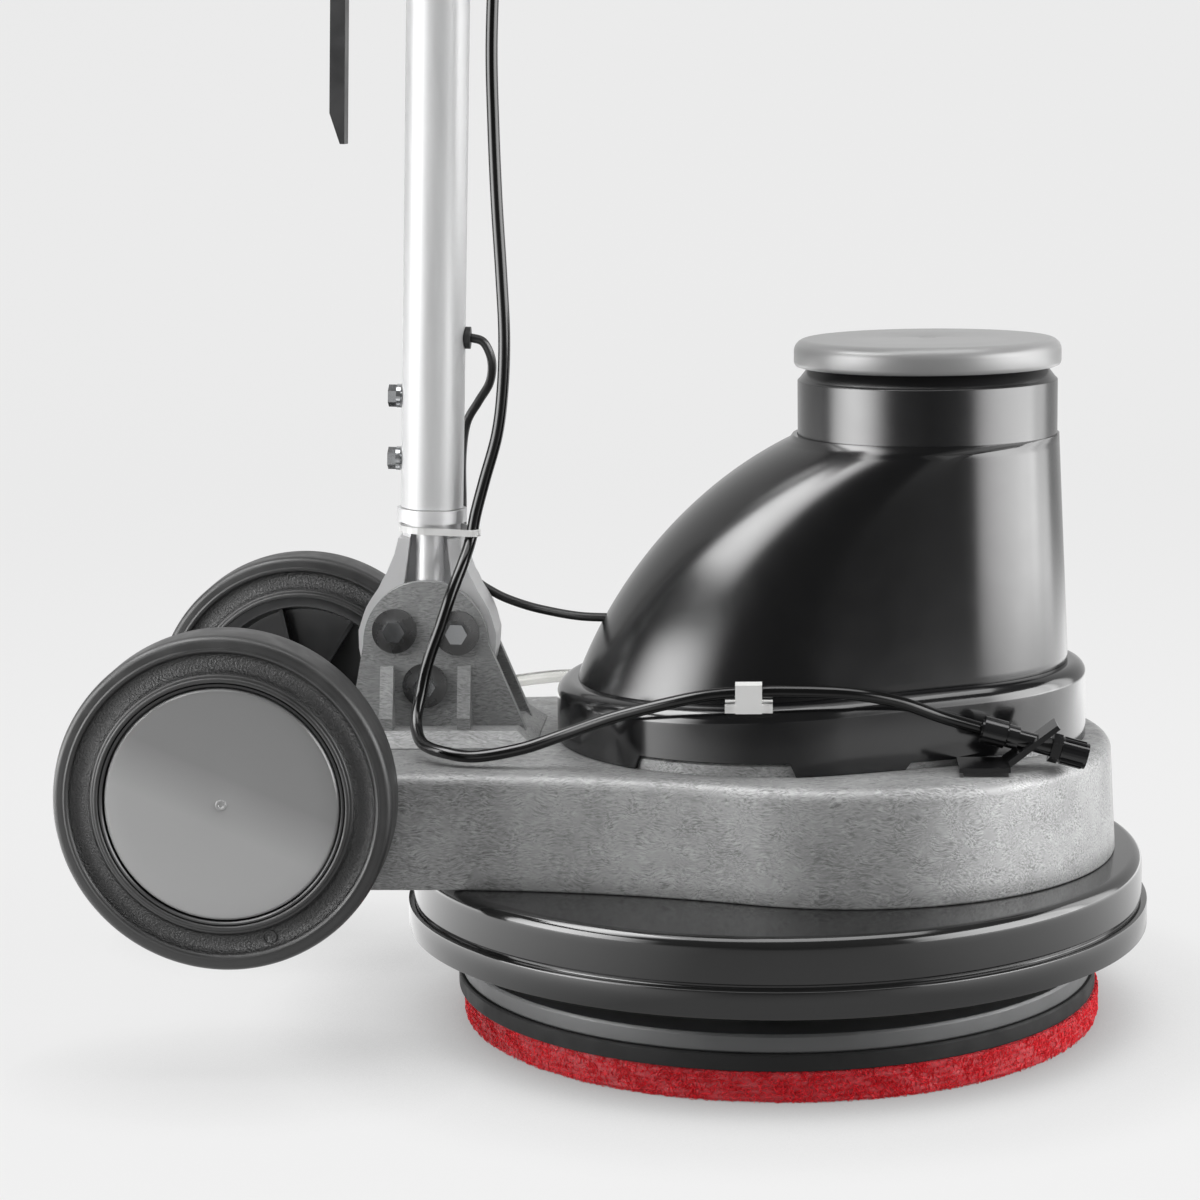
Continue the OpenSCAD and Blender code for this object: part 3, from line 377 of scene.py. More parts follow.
def catmull(points, steps):
    """A smooth line through the given points."""
    out = []
    for i in range(len(points) - 1):
        a, b = Vector(points[max(i - 1, 0)]), Vector(points[i])
        c, d = Vector(points[i + 1]), Vector(points[min(i + 2, len(points) - 1)])
        for j in range(steps):
            t = j / steps
            out.append(0.5 * (2 * b + (c - a) * t + (2 * a - 5 * b + 4 * c - d) * t * t
                              + (3 * b - a - 3 * c + d) * t * t * t))
    out.append(Vector(points[-1]))
    return out


def cord(name, node, route, radius, material):
    line = [p * MM for p in catmull(route, 8)]
    data = bpy.data.curves.new(name, "CURVE")
    data.dimensions = "3D"
    data.bevel_depth = radius * MM
    data.bevel_resolution = 6
    data.use_fill_caps = True
    spline = data.splines.new("POLY")
    spline.points.add(len(line) - 1)
    for point, place in zip(spline.points, line):
        point.co = (*place, 1)
    spline.use_smooth = True
    data.materials.append(material)
    obj = bpy.data.objects.new(name, data)
    bpy.context.scene.collection.objects.link(obj)
    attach(obj, "chassis")
    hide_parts(node)


HOSE = [(-170, -25, 745), (-172, -25, 715), (-175.5, -25, 650), (-175.5, -25, 600), (-174.5, -24, 550),
        (-172.5, -23, 500), (-171.5, -22, 460), (-173.5, -20, 425), (-178, -18, 395), (-187, -16, 365),
        (-193.5, -16.5, 342), (-197, -19, 325), (-201.5, -31, 310), (-208.5, -41, 292), (-216, -46, 270),
        (-224, -50, 248), (-229, -55, 226), (-231, -66, 210), (-225, -84, 200), (-208, -102, 197.5),
        (-187, -109, 196.5), (-157, -113, 202.5), (-131, -117, 212), (-96, -127, 226), (-60, -137, 237),
        (-34, -141, 242.8), (-11, -141.5, 244.4), (12, -141.3, 244.8), (52, -138, 242.5), (83, -130, 235.5),
        (111, -122, 224), (136, -117, 215.5)]
LEAD = [(-202, 0, 458.2), (-195, 0, 457.8), (-187, 0, 454.5), (-182.5, 3, 442), (-185, 12, 427),
        (-194, 22, 413), (-203, 30, 398), (-207, 34, 375), (-208, 38, 345), (-208, 37, 318),
        (-202, 33, 293), (-186, 26, 281.5), (-165, 17, 274.5), (-143, 9, 270.5), (-125, 4, 268.5),
        (-108, 2, 268)]
CLEAR = [(-240, 66, 194), (-228, 74, 198), (-205, 88, 203), (-180, 97, 206), (-150, 100, 209),
         (-128, 96, 210), (-110, 90, 210)]
cord("solution_hose_line", "solution_hose", HOSE, HOSE_R, MAT["hose"])
cord("motor_cable_line", "motor_cable", LEAD, LEAD_R, MAT["cable"])
cord("clear_tube_line", "clear_tube", CLEAR, CLEAR_R, MAT["clear"])


# ---------------------------------------------------------------- mesh helpers

def mesh(name, verts, faces, material, body, *nodes, smooth=40):
    data = bpy.data.meshes.new(name)
    data.from_pydata([(x * MM, y * MM, z * MM) for x, y, z in verts], [], faces)
    data.validate()
    data.materials.append(material)
    obj = bpy.data.objects.new(name, data)
    bpy.context.scene.collection.objects.link(obj)
    data.polygons.foreach_set("use_smooth", [True] * len(data.polygons))
    data.set_sharp_from_angle(angle=math.radians(smooth))
    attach(obj, body)
    if nodes:
        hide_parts(*nodes)
    return obj


def bevel(obj, width, segments=2):
    m = obj.modifiers.new("rounding", "BEVEL")
    m.width = width * MM
    m.segments = segments
    m.limit_method = "ANGLE"
    m.angle_limit = math.radians(35)
    m.harden_normals = True
    return m


def bridge(a, b, n):
    """Faces between two rings of n points that start at points a and b."""
    return [(a + j, a + (j + 1) % n, b + (j + 1) % n, b + j) for j in range(n)]


def stack(rings, close=False):
    """Faces between rings of equal length; with close, the last joins the first."""
    n = len(rings[0])
    verts = [v for r in rings for v in r]
    faces = []
    for i in range(len(rings) if close else len(rings) - 1):
        faces += bridge(i * n, (i + 1) % len(rings) * n, n)
    return verts, faces


def moved_on(faces, base):
    return [tuple(base + i for i in f) for f in faces]


def turned_over(faces):
    return [tuple(reversed(f)) for f in faces]


def with_ends(rings):
    verts, faces = stack(rings)
    n = len(rings[0])
    faces.append(tuple(range(n - 1, -1, -1)))
    faces.append(tuple(range(len(verts) - n, len(verts))))
    return verts, faces


def prism(outline, y0, y1):
    """Solid between two upright planes from an outline of (x, z)."""
    return with_ends([[(x, y, z) for x, z in outline] for y in (y1, y0)])


def arc(cx, cy, r, a0, a1, n):
    angles = [a0 + (a1 - a0) * i / n for i in range(n + 1)]
    return [(cx + r * cosd(a), cy + r * sind(a)) for a in angles]


def segment(a, b, n):
    """Points strictly between two points."""
    return [(a[0] + (b[0] - a[0]) * i / n, a[1] + (b[1] - a[1]) * i / n) for i in range(1, n)]


def pill(xa, ra, xb, rb, fine=1):
    """Outline round two circles on the X axis."""
    t = math.degrees(math.acos(max(-1, min(1, (ra - rb) / (xb - xa)))))
    nose = arc(xb, 0, rb, -t, t, 48 * fine)
    tail = arc(xa, 0, ra, t, 360 - t, 72 * fine)
    return nose + segment(nose[-1], tail[0], 14 * fine) + tail + segment(tail[-1], nose[0], 14 * fine)


def at(outline, z):
    return [(x, y, z) for x, y in outline]


NEAR_AXIS = 0.02


def lathe(profile, segments=192, centre=(0, 0)):
    """Turned solid about a vertical axis; the profile is a closed list of (radius, height)."""
    x, y = centre
    turns = [2 * math.pi * j / segments for j in range(segments)]
    profile = [(max(r, NEAR_AXIS), z) for r, z in profile]
    return stack([[(x + r * math.cos(a), y + r * math.sin(a), z) for a in turns] for r, z in profile], True)


def turned(name, profile, material, body, *nodes, x=0, smooth=30, segments=192):
    verts, faces = lathe(profile, segments, (x, 0))
    return mesh(name, verts, faces, material, body, *nodes, smooth=smooth)


def fillet(points, r, n=5):
    """The profile with its corners rounded by r."""
    out = [points[0]]
    for a, b, c in zip(points, points[1:], points[2:]):
        back, ahead = Vector(a) - Vector(b), Vector(c) - Vector(b)
        angle = back.angle(ahead)
        if angle > 3.0:
            out.append(b)
            continue
        cut = min(r / math.tan(angle / 2), back.length * 0.48, ahead.length * 0.48)
        p, q = Vector(b) + back.normalized() * cut, Vector(b) + ahead.normalized() * cut
        for i in range(n + 1):
            t = i / n
            out.append(tuple((1 - t) ** 2 * p + 2 * t * (1 - t) * Vector(b) + t * t * q))
    out.append(points[-1])
    return out


# ---------------------------------------------------------------- chassis

def chassis_outline(inset):
    """Round front, two hollow flanks and a straight tail with round corners."""
    front, half, waist = CHASSIS_R - inset, TAIL_W - inset, WAIST_R + inset
    reach = math.sqrt((front + waist) ** 2 - (half + waist) ** 2)
    meet = math.degrees(math.atan2(half + waist, -reach))
    end, corner = TAIL_X + inset, max(TAIL_CORNER - inset, 4)
    nose = arc(ROUND_X, 0, front, 0, meet, 80)
    flank = arc(ROUND_X - reach, half + waist, waist, meet - 180, -90, 24)
    tail = arc(end + corner, half - corner, corner, 90, 180, 12)
    side = nose + flank[1:] + segment(flank[-1], tail[0], 10) + tail + segment(tail[-1], (end, 0), 16)
    return side + [(end, 0)] + [(x, -y) for x, y in reversed(side[1:])]


def chassis():
    """Casting open below: a wall with a little draft, a round upper edge and a flat roof."""
    foot, draft, edge = CHASSIS_Z0 + 1.4, 3.2, 8.5
    rise = CHASSIS_Z1 - edge - foot
    roof = CHASSIS_Z1 - 7
    outer = [(1.2, CHASSIS_Z0), (0.3, CHASSIS_Z0 + 0.4), (0, foot)]
    outer += [(draft * k / 6, foot + rise * k / 6) for k in range(1, 7)]
    outer += [(draft + edge * (1 - cosd(a)), foot + rise + edge * sind(a)) for a in range(10, 91, 10)]
    inner = [(14, roof), (10, roof - 1), (8, roof - 4), (7, foot), (6.7, CHASSIS_Z0 + 0.4), (5.8, CHASSIS_Z0)]
    verts, faces = stack([at(chassis_outline(inset), z) for inset, z in outer])
    base, n = len(verts), len(verts) // len(outer)
    faces.append(tuple(range(base - n, base)))
    more, inside = stack([at(chassis_outline(inset), z) for inset, z in inner])
    verts += more
    faces += moved_on(inside, base)
    faces.append(tuple(base + i for i in range(n - 1, -1, -1)))
    faces += bridge(len(verts) - n, 0, n)
    mesh("chassis_shell", verts, faces, MAT["cast"], "chassis", "chassis_casting", smooth=50)


def chassis_arms():
    """Two arms that carry the axle behind the tail."""
    arm_r, arm_t, arm_y = 22, 16, 92
    outline = [(-299, 126), (-299, 183)] + arc(WHEEL_X, AXLE_Z, arm_r, 50, 250, 24)
    for name, y in (("left_axle_arm", arm_y), ("right_axle_arm", -arm_y - arm_t)):
        verts, faces = prism(outline, y, y + arm_t)
        bevel(mesh(name, verts, faces, MAT["cast"], "chassis"), 2, 3)


def ring_outline(inset, fine=2):
    return pill(0, RING_R - inset, MOTOR_X, RING_NOSE_R - inset, fine)


def ring_seat():
    """Raised seat on the chassis under the motor's base ring."""
    edge = [(3.4, CHASSIS_Z1), (3.4, 195.8), (4.6, 197.0)]
    verts, faces = with_ends([at(ring_outline(inset, 1), z) for inset, z in edge])
    mesh("ring_seat", verts, faces, MAT["cast"], "chassis", smooth=35)


chassis()
chassis_arms()
ring_seat()


# ---------------------------------------------------------------- motor cover

def ring_bottom(x, y):
    """Height of the ring's lower edge, which has a slot and a step on the right side."""
    if y < -40 and -84 < x < 17:
        return 198.0
    if y < -20 and 89 < x < 196:
        return 193.5
    return CHASSIS_Z1 + 0.2


def fallen(points, share=1.0):
    """Lowers points towards the rear, as the top of the base ring falls."""
    return [(x, y, z - share * RING_FALL * (RING_NOSE_X - x)) for x, y, z in points]


def base_ring():
    """Low wall round the motor: down its inside, round its foot and up over its round shoulder."""
    outline = ring_outline(0)

    def foot(inset, lift):
        return [(x, y, ring_bottom(*o) + lift) for (x, y), o in zip(ring_outline(inset), outline)]

    wall_t, seat_z, inner_z = 3, 200, 228
    rings = [fallen(at(ring_outline(wall_t), inner_z)), at(ring_outline(wall_t), seat_z)]
    rings += [foot(wall_t, 0.5), foot(2.6, 0), foot(0.5, 0), foot(0, 0.5), at(outline, seat_z)]
    shoulder = [(RING_ROUND * (1 - cosd(a)), RING_WALL_Z1 + RING_ROUND * sind(a)) for a in range(0, 91, 9)]
    ledge = [(16, RING_Z1), (24, RING_Z1), (27, RING_Z1), (27, 238), (14, 238), (6, 232), (wall_t, inner_z)]
    rings += [fallen(at(ring_outline(inset), z)) for inset, z in [(0, 214)] + shoulder + ledge]
    verts, faces = stack(rings)
    mesh("base_ring", verts, faces, MAT["gloss"], "chassis", "motor_base_ring", smooth=40)


HOOD_RISE = NECK_Z0 - RING_Z1
HOOD_DROP = 11.6
HOOD_BACK_R, HOOD_BACK_X, HOOD_BACK_Z = 317, 166.3, 111.6


def hood_rear(t):
    """X of the hood's back, an arc that flares a little under the neck; t runs upwards from 0 to 1."""
    z = RING_Z1 - HOOD_DROP * (1 - t) + HOOD_RISE * t
    return HOOD_BACK_X - math.sqrt(HOOD_BACK_R ** 2 - (z - HOOD_BACK_Z) ** 2) + 3.4 * t ** 12


def hood_outline(t, inset=0.0):
    rear_r = 126 - 38 * t
    front_r = min(94 - 7 * t, rear_r - 0.5)
    return pill(min(hood_rear(t) + rear_r, MOTOR_X - 1.2), rear_r - inset, MOTOR_X, front_r - inset)


def hood_ring(t, inset=0.0):
    return fallen(at(hood_outline(t, inset), RING_Z1 + HOOD_RISE * t), 1 - t)


def hood():
    """Hollow hood that leans forward from the base ring to its round neck."""
    count = 56
    lip = [fallen(at(hood_outline(0, inset), z)) for inset, z in ((1.2, RING_Z1 - 0.4), (0.3, RING_Z1 + 0.2))]
    verts, faces = stack(lip + [hood_ring(k / count) for k in range(1, count + 1)])
    base, n = len(verts), len(lip[0])
    more, inside = stack([hood_ring(t, HOOD_T) for t in (1, 0.8, 0.6, 0.4, 0.2, 0)])
    verts += more
    faces += moved_on(inside, base)
    faces += bridge(len(verts) - n, 0, n)
    faces += bridge(base - n, base, n)
    body = mesh("hood_body", verts, faces, MAT["hood"], "chassis", "motor_hood", smooth=45)
    bore = NECK_R - HOOD_T
    profile = fillet([(bore, 389), (86.2, 389), (NECK_R, 393), (NECK_R, 427.6), (84.2, NECK_Z1), (78, CAP_Z0),
                      (70, CAP_Z0), (70, 426), (bore, 426)], 0.8, 3)
    neck = turned("hood_neck", profile, MAT["neck"], "chassis", x=MOTOR_X, smooth=35)
    neck.parent, neck.parent_type = body.parent, body.parent_type


def cap():
    """Flat lid with a round rim and a shallow ring at its middle."""
    rim = [(CAP_R - 8 * (1 - cosd(a)), 447 + 7.8 * sind(a)) for a in range(0, 91, 9)]
    edge = [(60, CAP_Z0), (85.5, CAP_Z0), (86.8, 437.4), (87.6, 438.4), (CAP_R, 440)]
    top = [(74, 454.9), (60, CAP_Z1), (6, CAP_Z1), (5.2, 454.6), (4.4, 454.6), (3.6, CAP_Z1), (0, CAP_Z1)]
    turned("motor_cap", edge + rim + top + [(0, 440), (60, 440)], MAT["cap"], "chassis", "hood_cap",
           x=MOTOR_X, smooth=28)


base_ring()
hood()
cap()


# ---------------------------------------------------------------- disc

def skirt():
    """Bumper skirt: a thick lower lip, a groove, an upper wall with a round shoulder, and a flat top."""
    lip = [(241, 64.4), (241.6, SKIRT_Z0), (249, SKIRT_Z0), (249.7, 64.3), (SKIRT_R, 65), (SKIRT_R, 80.6),
           (249.8, 81.5), (249.2, 81.9), (247, 82)]
    groove = [(245.2, 82.1), (244.8, 82.6), (244.8, 84.2), (245.2, 84.6), (245.9, 84.8), (246.3, 85.4)]
    wall = [(246.3, 85.4 + 21 * k / 6) for k in range(1, 7)]
    shoulder = [(239 + 7.3 * cosd(a), 106.6 + 7.3 * sind(a)) for a in range(9, 91, 9)]
    under = [(60, 113.9), (60, 110), (233, 110), (238, 106), (241, 100), (241, 66)]
    turned("skirt", lip + groove + wall + shoulder + under, MAT["skirt"], "chassis", "bumper_skirt",
           x=SKIRT_X, smooth=32, segments=288)


def driver():
    """Driver plate with the hub that rises round its bearing."""
    plate_edge = [(46, PLATE_Z1), (46, PLATE_Z0), (213.6, PLATE_Z0), (PLATE_R, 33), (PLATE_R, 42),
                  (213, PLATE_Z1), (190, PLATE_Z1), (60, PLATE_Z1)]
    hub = [(46, 44.2), (38, 52), (38, 80), (36, 82), (28, 82), (28, 58), (20, 58), (20, 36), (40, 36)]
    turned("driver_plate", fillet(plate_edge, 0.6, 3) + hub, MAT["driver"], "disc", "pad_driver",
           x=DISC_X, smooth=30)


def grip():
    profile = [(50, PAD_T), (216.4, PAD_T), (GRIP_R, 22), (GRIP_R, 30.5), (215.5, PLATE_Z0), (50, PLATE_Z0)]
    turned("grip_layer", fillet(profile, 0.6, 3), MAT["grip"], "disc", "grip_ring", x=DISC_X, smooth=30)


def pad():
    """Core of the pad, a little uneven at its edge."""
    segments, levels, rough_from = 720, 14, 203
    low_edge = [(212 + 2.9 * sind(a), 3.4 - 3.1 * cosd(a)) for a in range(0, 91, 15)]
    side = [(PAD_SIDE_R, 3.4 + 16.6 * k / levels) for k in range(1, levels + 1)]
    rings = []
    for r, z in [(NEAR_AXIS, 0.3), (206, 0.3)] + low_edge + side + [(213, 20.8), (NEAR_AXIS, 20.8)]:
        ring = []
        for j in range(segments):
            a = 2 * math.pi * j / segments
            waves = math.sin(13 * a + z * 0.9) * math.sin(29 * a - z * 0.6)
            lump = 0.55 * waves + random.uniform(-0.35, 0.35)
            q, height = r, z
            if r > rough_from:
                q += lump
                height += random.uniform(-0.25, 0.25)
            ring.append((PAD_X + q * math.cos(a), q * math.sin(a), max(0.1, height)))
        rings.append(ring)
    verts, faces = stack(rings, True)
    mesh("pad_core", verts, faces, MAT["pad"], "disc", "scrub_pad", smooth=60)


def fibre_line(steps):
    """Points of one fibre, bowed out of the pad's side, and the direction that points out of the pad."""
    a = random.uniform(0, 2 * math.pi)
    z = random.uniform(0.4, 20.6)
    r = 214.1 - 3.0 * max(0, (3.0 - z) / 3.0) ** 2 + random.uniform(-0.6, 0.8)
    heading = random.uniform(0, 2 * math.pi)
    bend = random.uniform(-1.6, 1.6)
    length = random.uniform(3, 9)
    lift = random.uniform(0.2, 1.3)
    points = []
    for k in range(steps):
        t = k / (steps - 1) - 0.5
        h = heading + bend * t
        q = min(r + lift * (1 - 4 * t * t), 215.9)
        turn = a + length * t * math.cos(h) / 214
        height = min(max(z + length * t * math.sin(h), 0.25), 20.8)
        points.append(Vector((PAD_X + q * math.cos(turn), q * math.sin(turn), height)))
    return points, Vector((math.cos(a), math.sin(a), 0))


def fibres(count):
    """Loose three-sided fibres that stand a little out of the pad's side."""
    steps = 6
    verts, faces = [], []
    for _ in range(count):
        points, out = fibre_line(steps)
        thick = random.uniform(0.15, 0.28)
        base = len(verts)
        for k, p in enumerate(points):
            along = (points[min(k + 1, steps - 1)] - points[max(k - 1, 0)]).normalized()
            side = along.cross(out)
            side = side.normalized() if side.length > 1e-6 else Vector((0, 0, 1))
            up = side.cross(along)
            verts += [tuple(p + thick * (cosd(b) * side + sind(b) * up)) for b in (90, 210, 330)]
        for k in range(steps - 1):
            for j in range(3):
                first, second = base + 3 * k + j, base + 3 * k + (j + 1) % 3
                faces.append((first, second, second + 3, first + 3))
    mesh("pad_fibres", verts, faces, MAT["fibre"], "disc", smooth=180)


skirt()
driver()
grip()
pad()
fibres(15000)


# ---------------------------------------------------------------- wheels

def on_wheel(verts, side):
    """From lying flat with the outer face up to its place on the axle."""
    return [(WHEEL_X + x, side * (WHEEL_Y + z), AXLE_Z + y) for x, y, z in verts]


def wheel_mesh(name, verts, faces, material, side, *nodes, smooth=40):
    body = "left_wheel" if side > 0 else "right_wheel"
    return mesh(name, on_wheel(verts, side), faces, material, body, *nodes, smooth=smooth)


def wheel_lathe(name, profile, material, side, *nodes, smooth=28, segments=224, centre=(0, 0)):
    verts, faces = lathe(profile, segments, centre)
    faces = turned_over(faces) if side > 0 else faces
    return wheel_mesh(name, verts, faces, material, side, *nodes, smooth=smooth)


def both_faces(outer):
    """The profile on a wheel's inner face, a mirror of the one on its outer face."""
    return [(r, -TYRE_W - z) for r, z in reversed(outer)]


def tyre(side, word):
    """Tyre with a moulded groove on each face, whose floor is grained."""
    shoulder = [(98, -1.6), (98.6, -1.0), (99.4, -0.9), (100, -1.5), (100.6, -1.6), (103.5, -1.0),
                (105.3, -1.6), (106.6, -2.9), (107.3, -4.8), (WHEEL_R, -7.5)]
    groove = [(78, -2.0), (78.3, -0.7), (79.2, -0.2), (80.4, -0.2), (81.2, -0.9), (81.4, -1.6), (82.4, -1.6),
              (83.2, -2.4), (84.2, -5.2), (86.5, -6.8), (92, -7.2), (95.4, -6.4), (96.8, -3.6), (97.2, -2.0)]
    profile = groove + shoulder + [(WHEEL_R, -TYRE_W / 2)] + both_faces(shoulder) + both_faces(groove)
    body = wheel_lathe(word + "_tyre_body", profile, MAT["tyre"], side, word + "_tyre", smooth=60)
    body.data.materials.append(MAT["tyre_grain"])
    for p in body.data.polygons:
        r = math.hypot(p.center.x / MM - WHEEL_X, p.center.z / MM - AXLE_Z)
        if 83.6 < r < 97.4:
            p.material_index = 1
    mark = [(3.6, -7.3), (3.8, -6.3), (4.6, -6.3), (4.8, -7.3)]
    wheel_lathe(word + "_tyre_mark", mark, MAT["tyre"], side, smooth=30, segments=40,
                centre=(side * -26.9, -86.4))


def rim(side, word):
    """Dished rim with eight ribs on its inner side."""
    profile = [(10.05, -38), (24, -38), (25.5, -37), (27, -25.5), (28.5, -24), (64, -22), (67, -23),
               (71, -37), (72.5, -37.6), (77.9, -37.4), (77.9, -2.2), (77.2, -1.4), (76.2, -1.4),
               (75.4, -2.2), (75.2, -8), (24, -10), (22, -8), (10.05, -8)]
    wheel_lathe(word + "_rim_body", profile, MAT["rim"], side, word + "_rim", smooth=30)
    count, first_angle, half_t = 8, 12, 1.3
    verts, faces = [], []
    for k in range(count):
        a = math.radians(360 / count * k + first_angle)
        c, s = math.cos(a), math.sin(a)
        box = ((0, 2, 4, 6), (1, 7, 5, 3), (0, 1, 3, 2), (2, 3, 5, 4), (4, 5, 7, 6), (6, 7, 1, 0))
        faces += moved_on(box, len(verts))
        for r, z in ((22, -36), (70.5, -33.5), (66, -22), (26, -23)):
            verts += [(r * c - t * s, r * s + t * c, z) for t in (-half_t, half_t)]
    wheel_mesh(word + "_rim_ribs", verts, faces, MAT["rim"], side)


def hub_disc(side, word):
    """Smooth cover disc with a small raised ring at its middle."""
    profile = [(0, -1.9), (1.4, -1.8), (1.8, -1.45), (2.4, -1.3), (3.0, -1.3), (3.4, -1.9), (3.8, -2.05),
               (5, -1.9), (30, -1.65), (60, -1.4), (70.5, -1.5), (72.8, -1.9), (74, -2.8), (74.4, -4),
               (74.4, -7), (0, -7)]
    # the hub disc's grey carries painted light and shade across a slant
    wheel_lathe(word + "_hub_disc", profile, MAT["hubcap"], side, word + "_hub_cap", smooth=25)


for side, word in ((1, "left"), (-1, "right")):
    tyre(side, word)
    rim(side, word)
    hub_disc(side, word)


# ---------------------------------------------------------------- CAD nodes kept as they are

# each node's material, and the width in millimetres that its edges are rounded by
LOOKS = {
    "handle_bracket": ("cast_fine", 0.6), "underside_screws": ("zinc", 0.3),
    "belt_cover": ("cast_plain", 0.5), "hub_bearing": ("zinc", 0.3), "eccentric_shaft": ("zinc", 0.4),
    "driven_pulley": ("cast_plain", 0.3),
    "ball_bearings": ("zinc", 0.3), "drive_belt": ("rubber", 0.3), "motor_pulley": ("cast_plain", 0.3),
    "motor_rotor": ("zinc", 0.4), "motor_stator": ("motor", 0.4), "motor_end_shields": ("cast_plain", 0.4),
    "cooling_fan": ("satin", 0.3), "start_capacitor": ("satin", 0.8), "tube_foot": ("polished", 0.7),
    "foot_bolts": ("zinc", 1.0), "foot_washers": ("dark_zinc", 1.1), "drawbar_tube": ("anodised", 0.4),
    "tube_screws": ("zinc", 0.5), "cable_grommet": ("rubber", 0.8), "cable_tie": ("white", 0.5),
    "hose_clip": ("white", 0.7), "nozzle_bracket": ("gloss", 0.4), "nozzle_spacer": ("rubber", 0.3),
    "nozzle_body": ("gloss", 0.4), "nozzle_nuts": ("gloss", 0.5), "nozzle_cap": ("gloss", 0.4),
    "wheel_axle": ("zinc", 0.6), "lower_cable_hook": ("satin", 1.0), "upper_cable_hook": ("satin", 1.0),
    "tank_bracket": ("satin", 0.8), "solution_tank": ("satin", 4.0), "tank_cap": ("gloss", 0.6),
    "head_shell_lower": ("satin", 1.5), "head_shell_upper": ("satin", 1.5), "handlebar": ("zinc", 0.3),
    "handle_grips": ("rubber", 0.4), "left_switch_lever": ("red", 0.3), "right_switch_lever": ("red", 0.3),
    "lock_button": ("yellow", 0.8), "spray_button": ("blue", 0.8), "cord_gland": ("rubber", 0.8),
    "tilt_lever": ("zinc", 0.8),
}
# nodes whose rounded edges get a painted highlight, a light grey on the bevel faces
EDGE_HIGHLIGHTED = {"foot_bolts", "foot_washers", "tube_foot", "handle_bracket", "tube_screws"}
for node, (look, width) in LOOKS.items():
    obj = NODES[node]
    obj.data.materials.clear()
    obj.data.materials.append(MAT[look])
    rounding = bevel(obj, width)
    if node in EDGE_HIGHLIGHTED:
        # the bevel faces take the painted edge highlight
        obj.data.materials.append(MAT["edge"])
        rounding.material = 1


# ---------------------------------------------------------------- stage and light

SHADE_REACH = 0.13
SHADE_DEPTH = 0.85
SHADE_POWER = 0.8
STAGE_NEAR, STAGE_FAR = 0.86, 0.90
STAGE_LIT = 0.40
FLOOR_GLOW = 0.84


def floor_in_reflections(s, x, y):
    """What a glossy piece mirrors: brighter to the left and right of the machine, dark far in front of it."""
    left = s.calc("ADD", s.spread(x, 0.0, 1.2, -0.18, -0.42), s.spread(x, 0.0, 3.0, -0.42, -0.95))
    right = s.calc("ADD", s.spread(x, 0.0, 0.9, 0.28, 0.55), s.spread(x, 0.0, 2.0, 0.55, 1.0))
    beside = s.calc("ADD", FLOOR_GLOW, s.calc("ADD", left, right))
    on_floor = s.spread(y, 1.0, 0.0, 1.0, 2.0)
    behind = s.calc("MULTIPLY", FLOOR_GLOW, s.calc("SUBTRACT", 1.0, on_floor))
    glow = s.calc("ADD", s.calc("MULTIPLY", beside, on_floor), behind)
    return s.calc("MULTIPLY", glow, s.spread(y, 0.16, 1.0, -1.3, -0.5))


def stage_material():
    """Pale floor and sweep: evenly bright to the eye, with a painted shadow where things stand on it."""
    mat = new_material("pale_floor")
    s = Tree(mat.node_tree)
    path = s.node("ShaderNodeLightPath")
    axes = s.node("ShaderNodeSeparateXYZ")
    s.link(s.node("ShaderNodeTexCoord").outputs["Object"], axes.inputs[0])
    x, y = axes.outputs[0], axes.outputs[1]
    # painted contact shadow: ambient occlusion dims the floor's glow near things that stand on it
    hidden = s.node("ShaderNodeAmbientOcclusion", samples=8)
    hidden.inputs["Distance"].default_value = SHADE_REACH
    contact = s.calc("ADD", 1 - SHADE_DEPTH, s.calc("MULTIPLY", hidden.outputs["AO"], SHADE_DEPTH))
    distance = s.spread(y, STAGE_NEAR, STAGE_FAR, 0.0, 4.0)
    seen = s.calc("MULTIPLY", s.calc("POWER", contact, SHADE_POWER), distance)
    above_lit = s.calc("SUBTRACT", floor_in_reflections(s, x, y), STAGE_LIT)
    other = s.calc("ADD", s.calc("MULTIPLY", path.outputs["Is Glossy Ray"], above_lit), STAGE_LIT)
    above_other = s.calc("SUBTRACT", seen, other)
    strength = s.calc("ADD", other, s.calc("MULTIPLY", path.outputs["Is Camera Ray"], above_other))
    glow = s.node("ShaderNodeEmission")
    glow.inputs["Color"].default_value = (1.0, 1.0, 1.0, 1)
    s.link(strength, glow.inputs["Strength"])
    matt = s.node("ShaderNodeBsdfDiffuse")
    matt.inputs["Color"].default_value = (0.8, 0.8, 0.8, 1)
    mix = s.node("ShaderNodeMixShader")
    mix.inputs[0].default_value = 0.12
    s.link(glow.outputs[0], mix.inputs[1])
    s.link(matt.outputs[0], mix.inputs[2])
    s.link(mix.outputs[0], s.node("ShaderNodeOutputMaterial").inputs[0])
    return mat


def make_stage():
    """Floor, a round sweep behind it and an upright wall, in metres."""
    bend_y, bend_r, half_width = 3.0, 2, 14
    line = [(-12, 0), (bend_y, 0)]
    line += [(bend_y + bend_r * sind(a), bend_r - bend_r * cosd(a)) for a in range(6, 91, 6)]
    line += [(bend_y + bend_r, 9)]
    verts = [(x, y, z) for y, z in line for x in (-half_width, half_width)]
    faces = [(2 * i, 2 * i + 1, 2 * i + 3, 2 * i + 2) for i in range(len(line) - 1)]
    data = bpy.data.meshes.new("pale_floor")
    data.from_pydata(verts, [], faces)
    data.polygons.foreach_set("use_smooth", [True] * len(data.polygons))
    data.materials.append(stage_material())
    obj = bpy.data.objects.new("pale_floor", data)
    bpy.context.scene.collection.objects.link(obj)


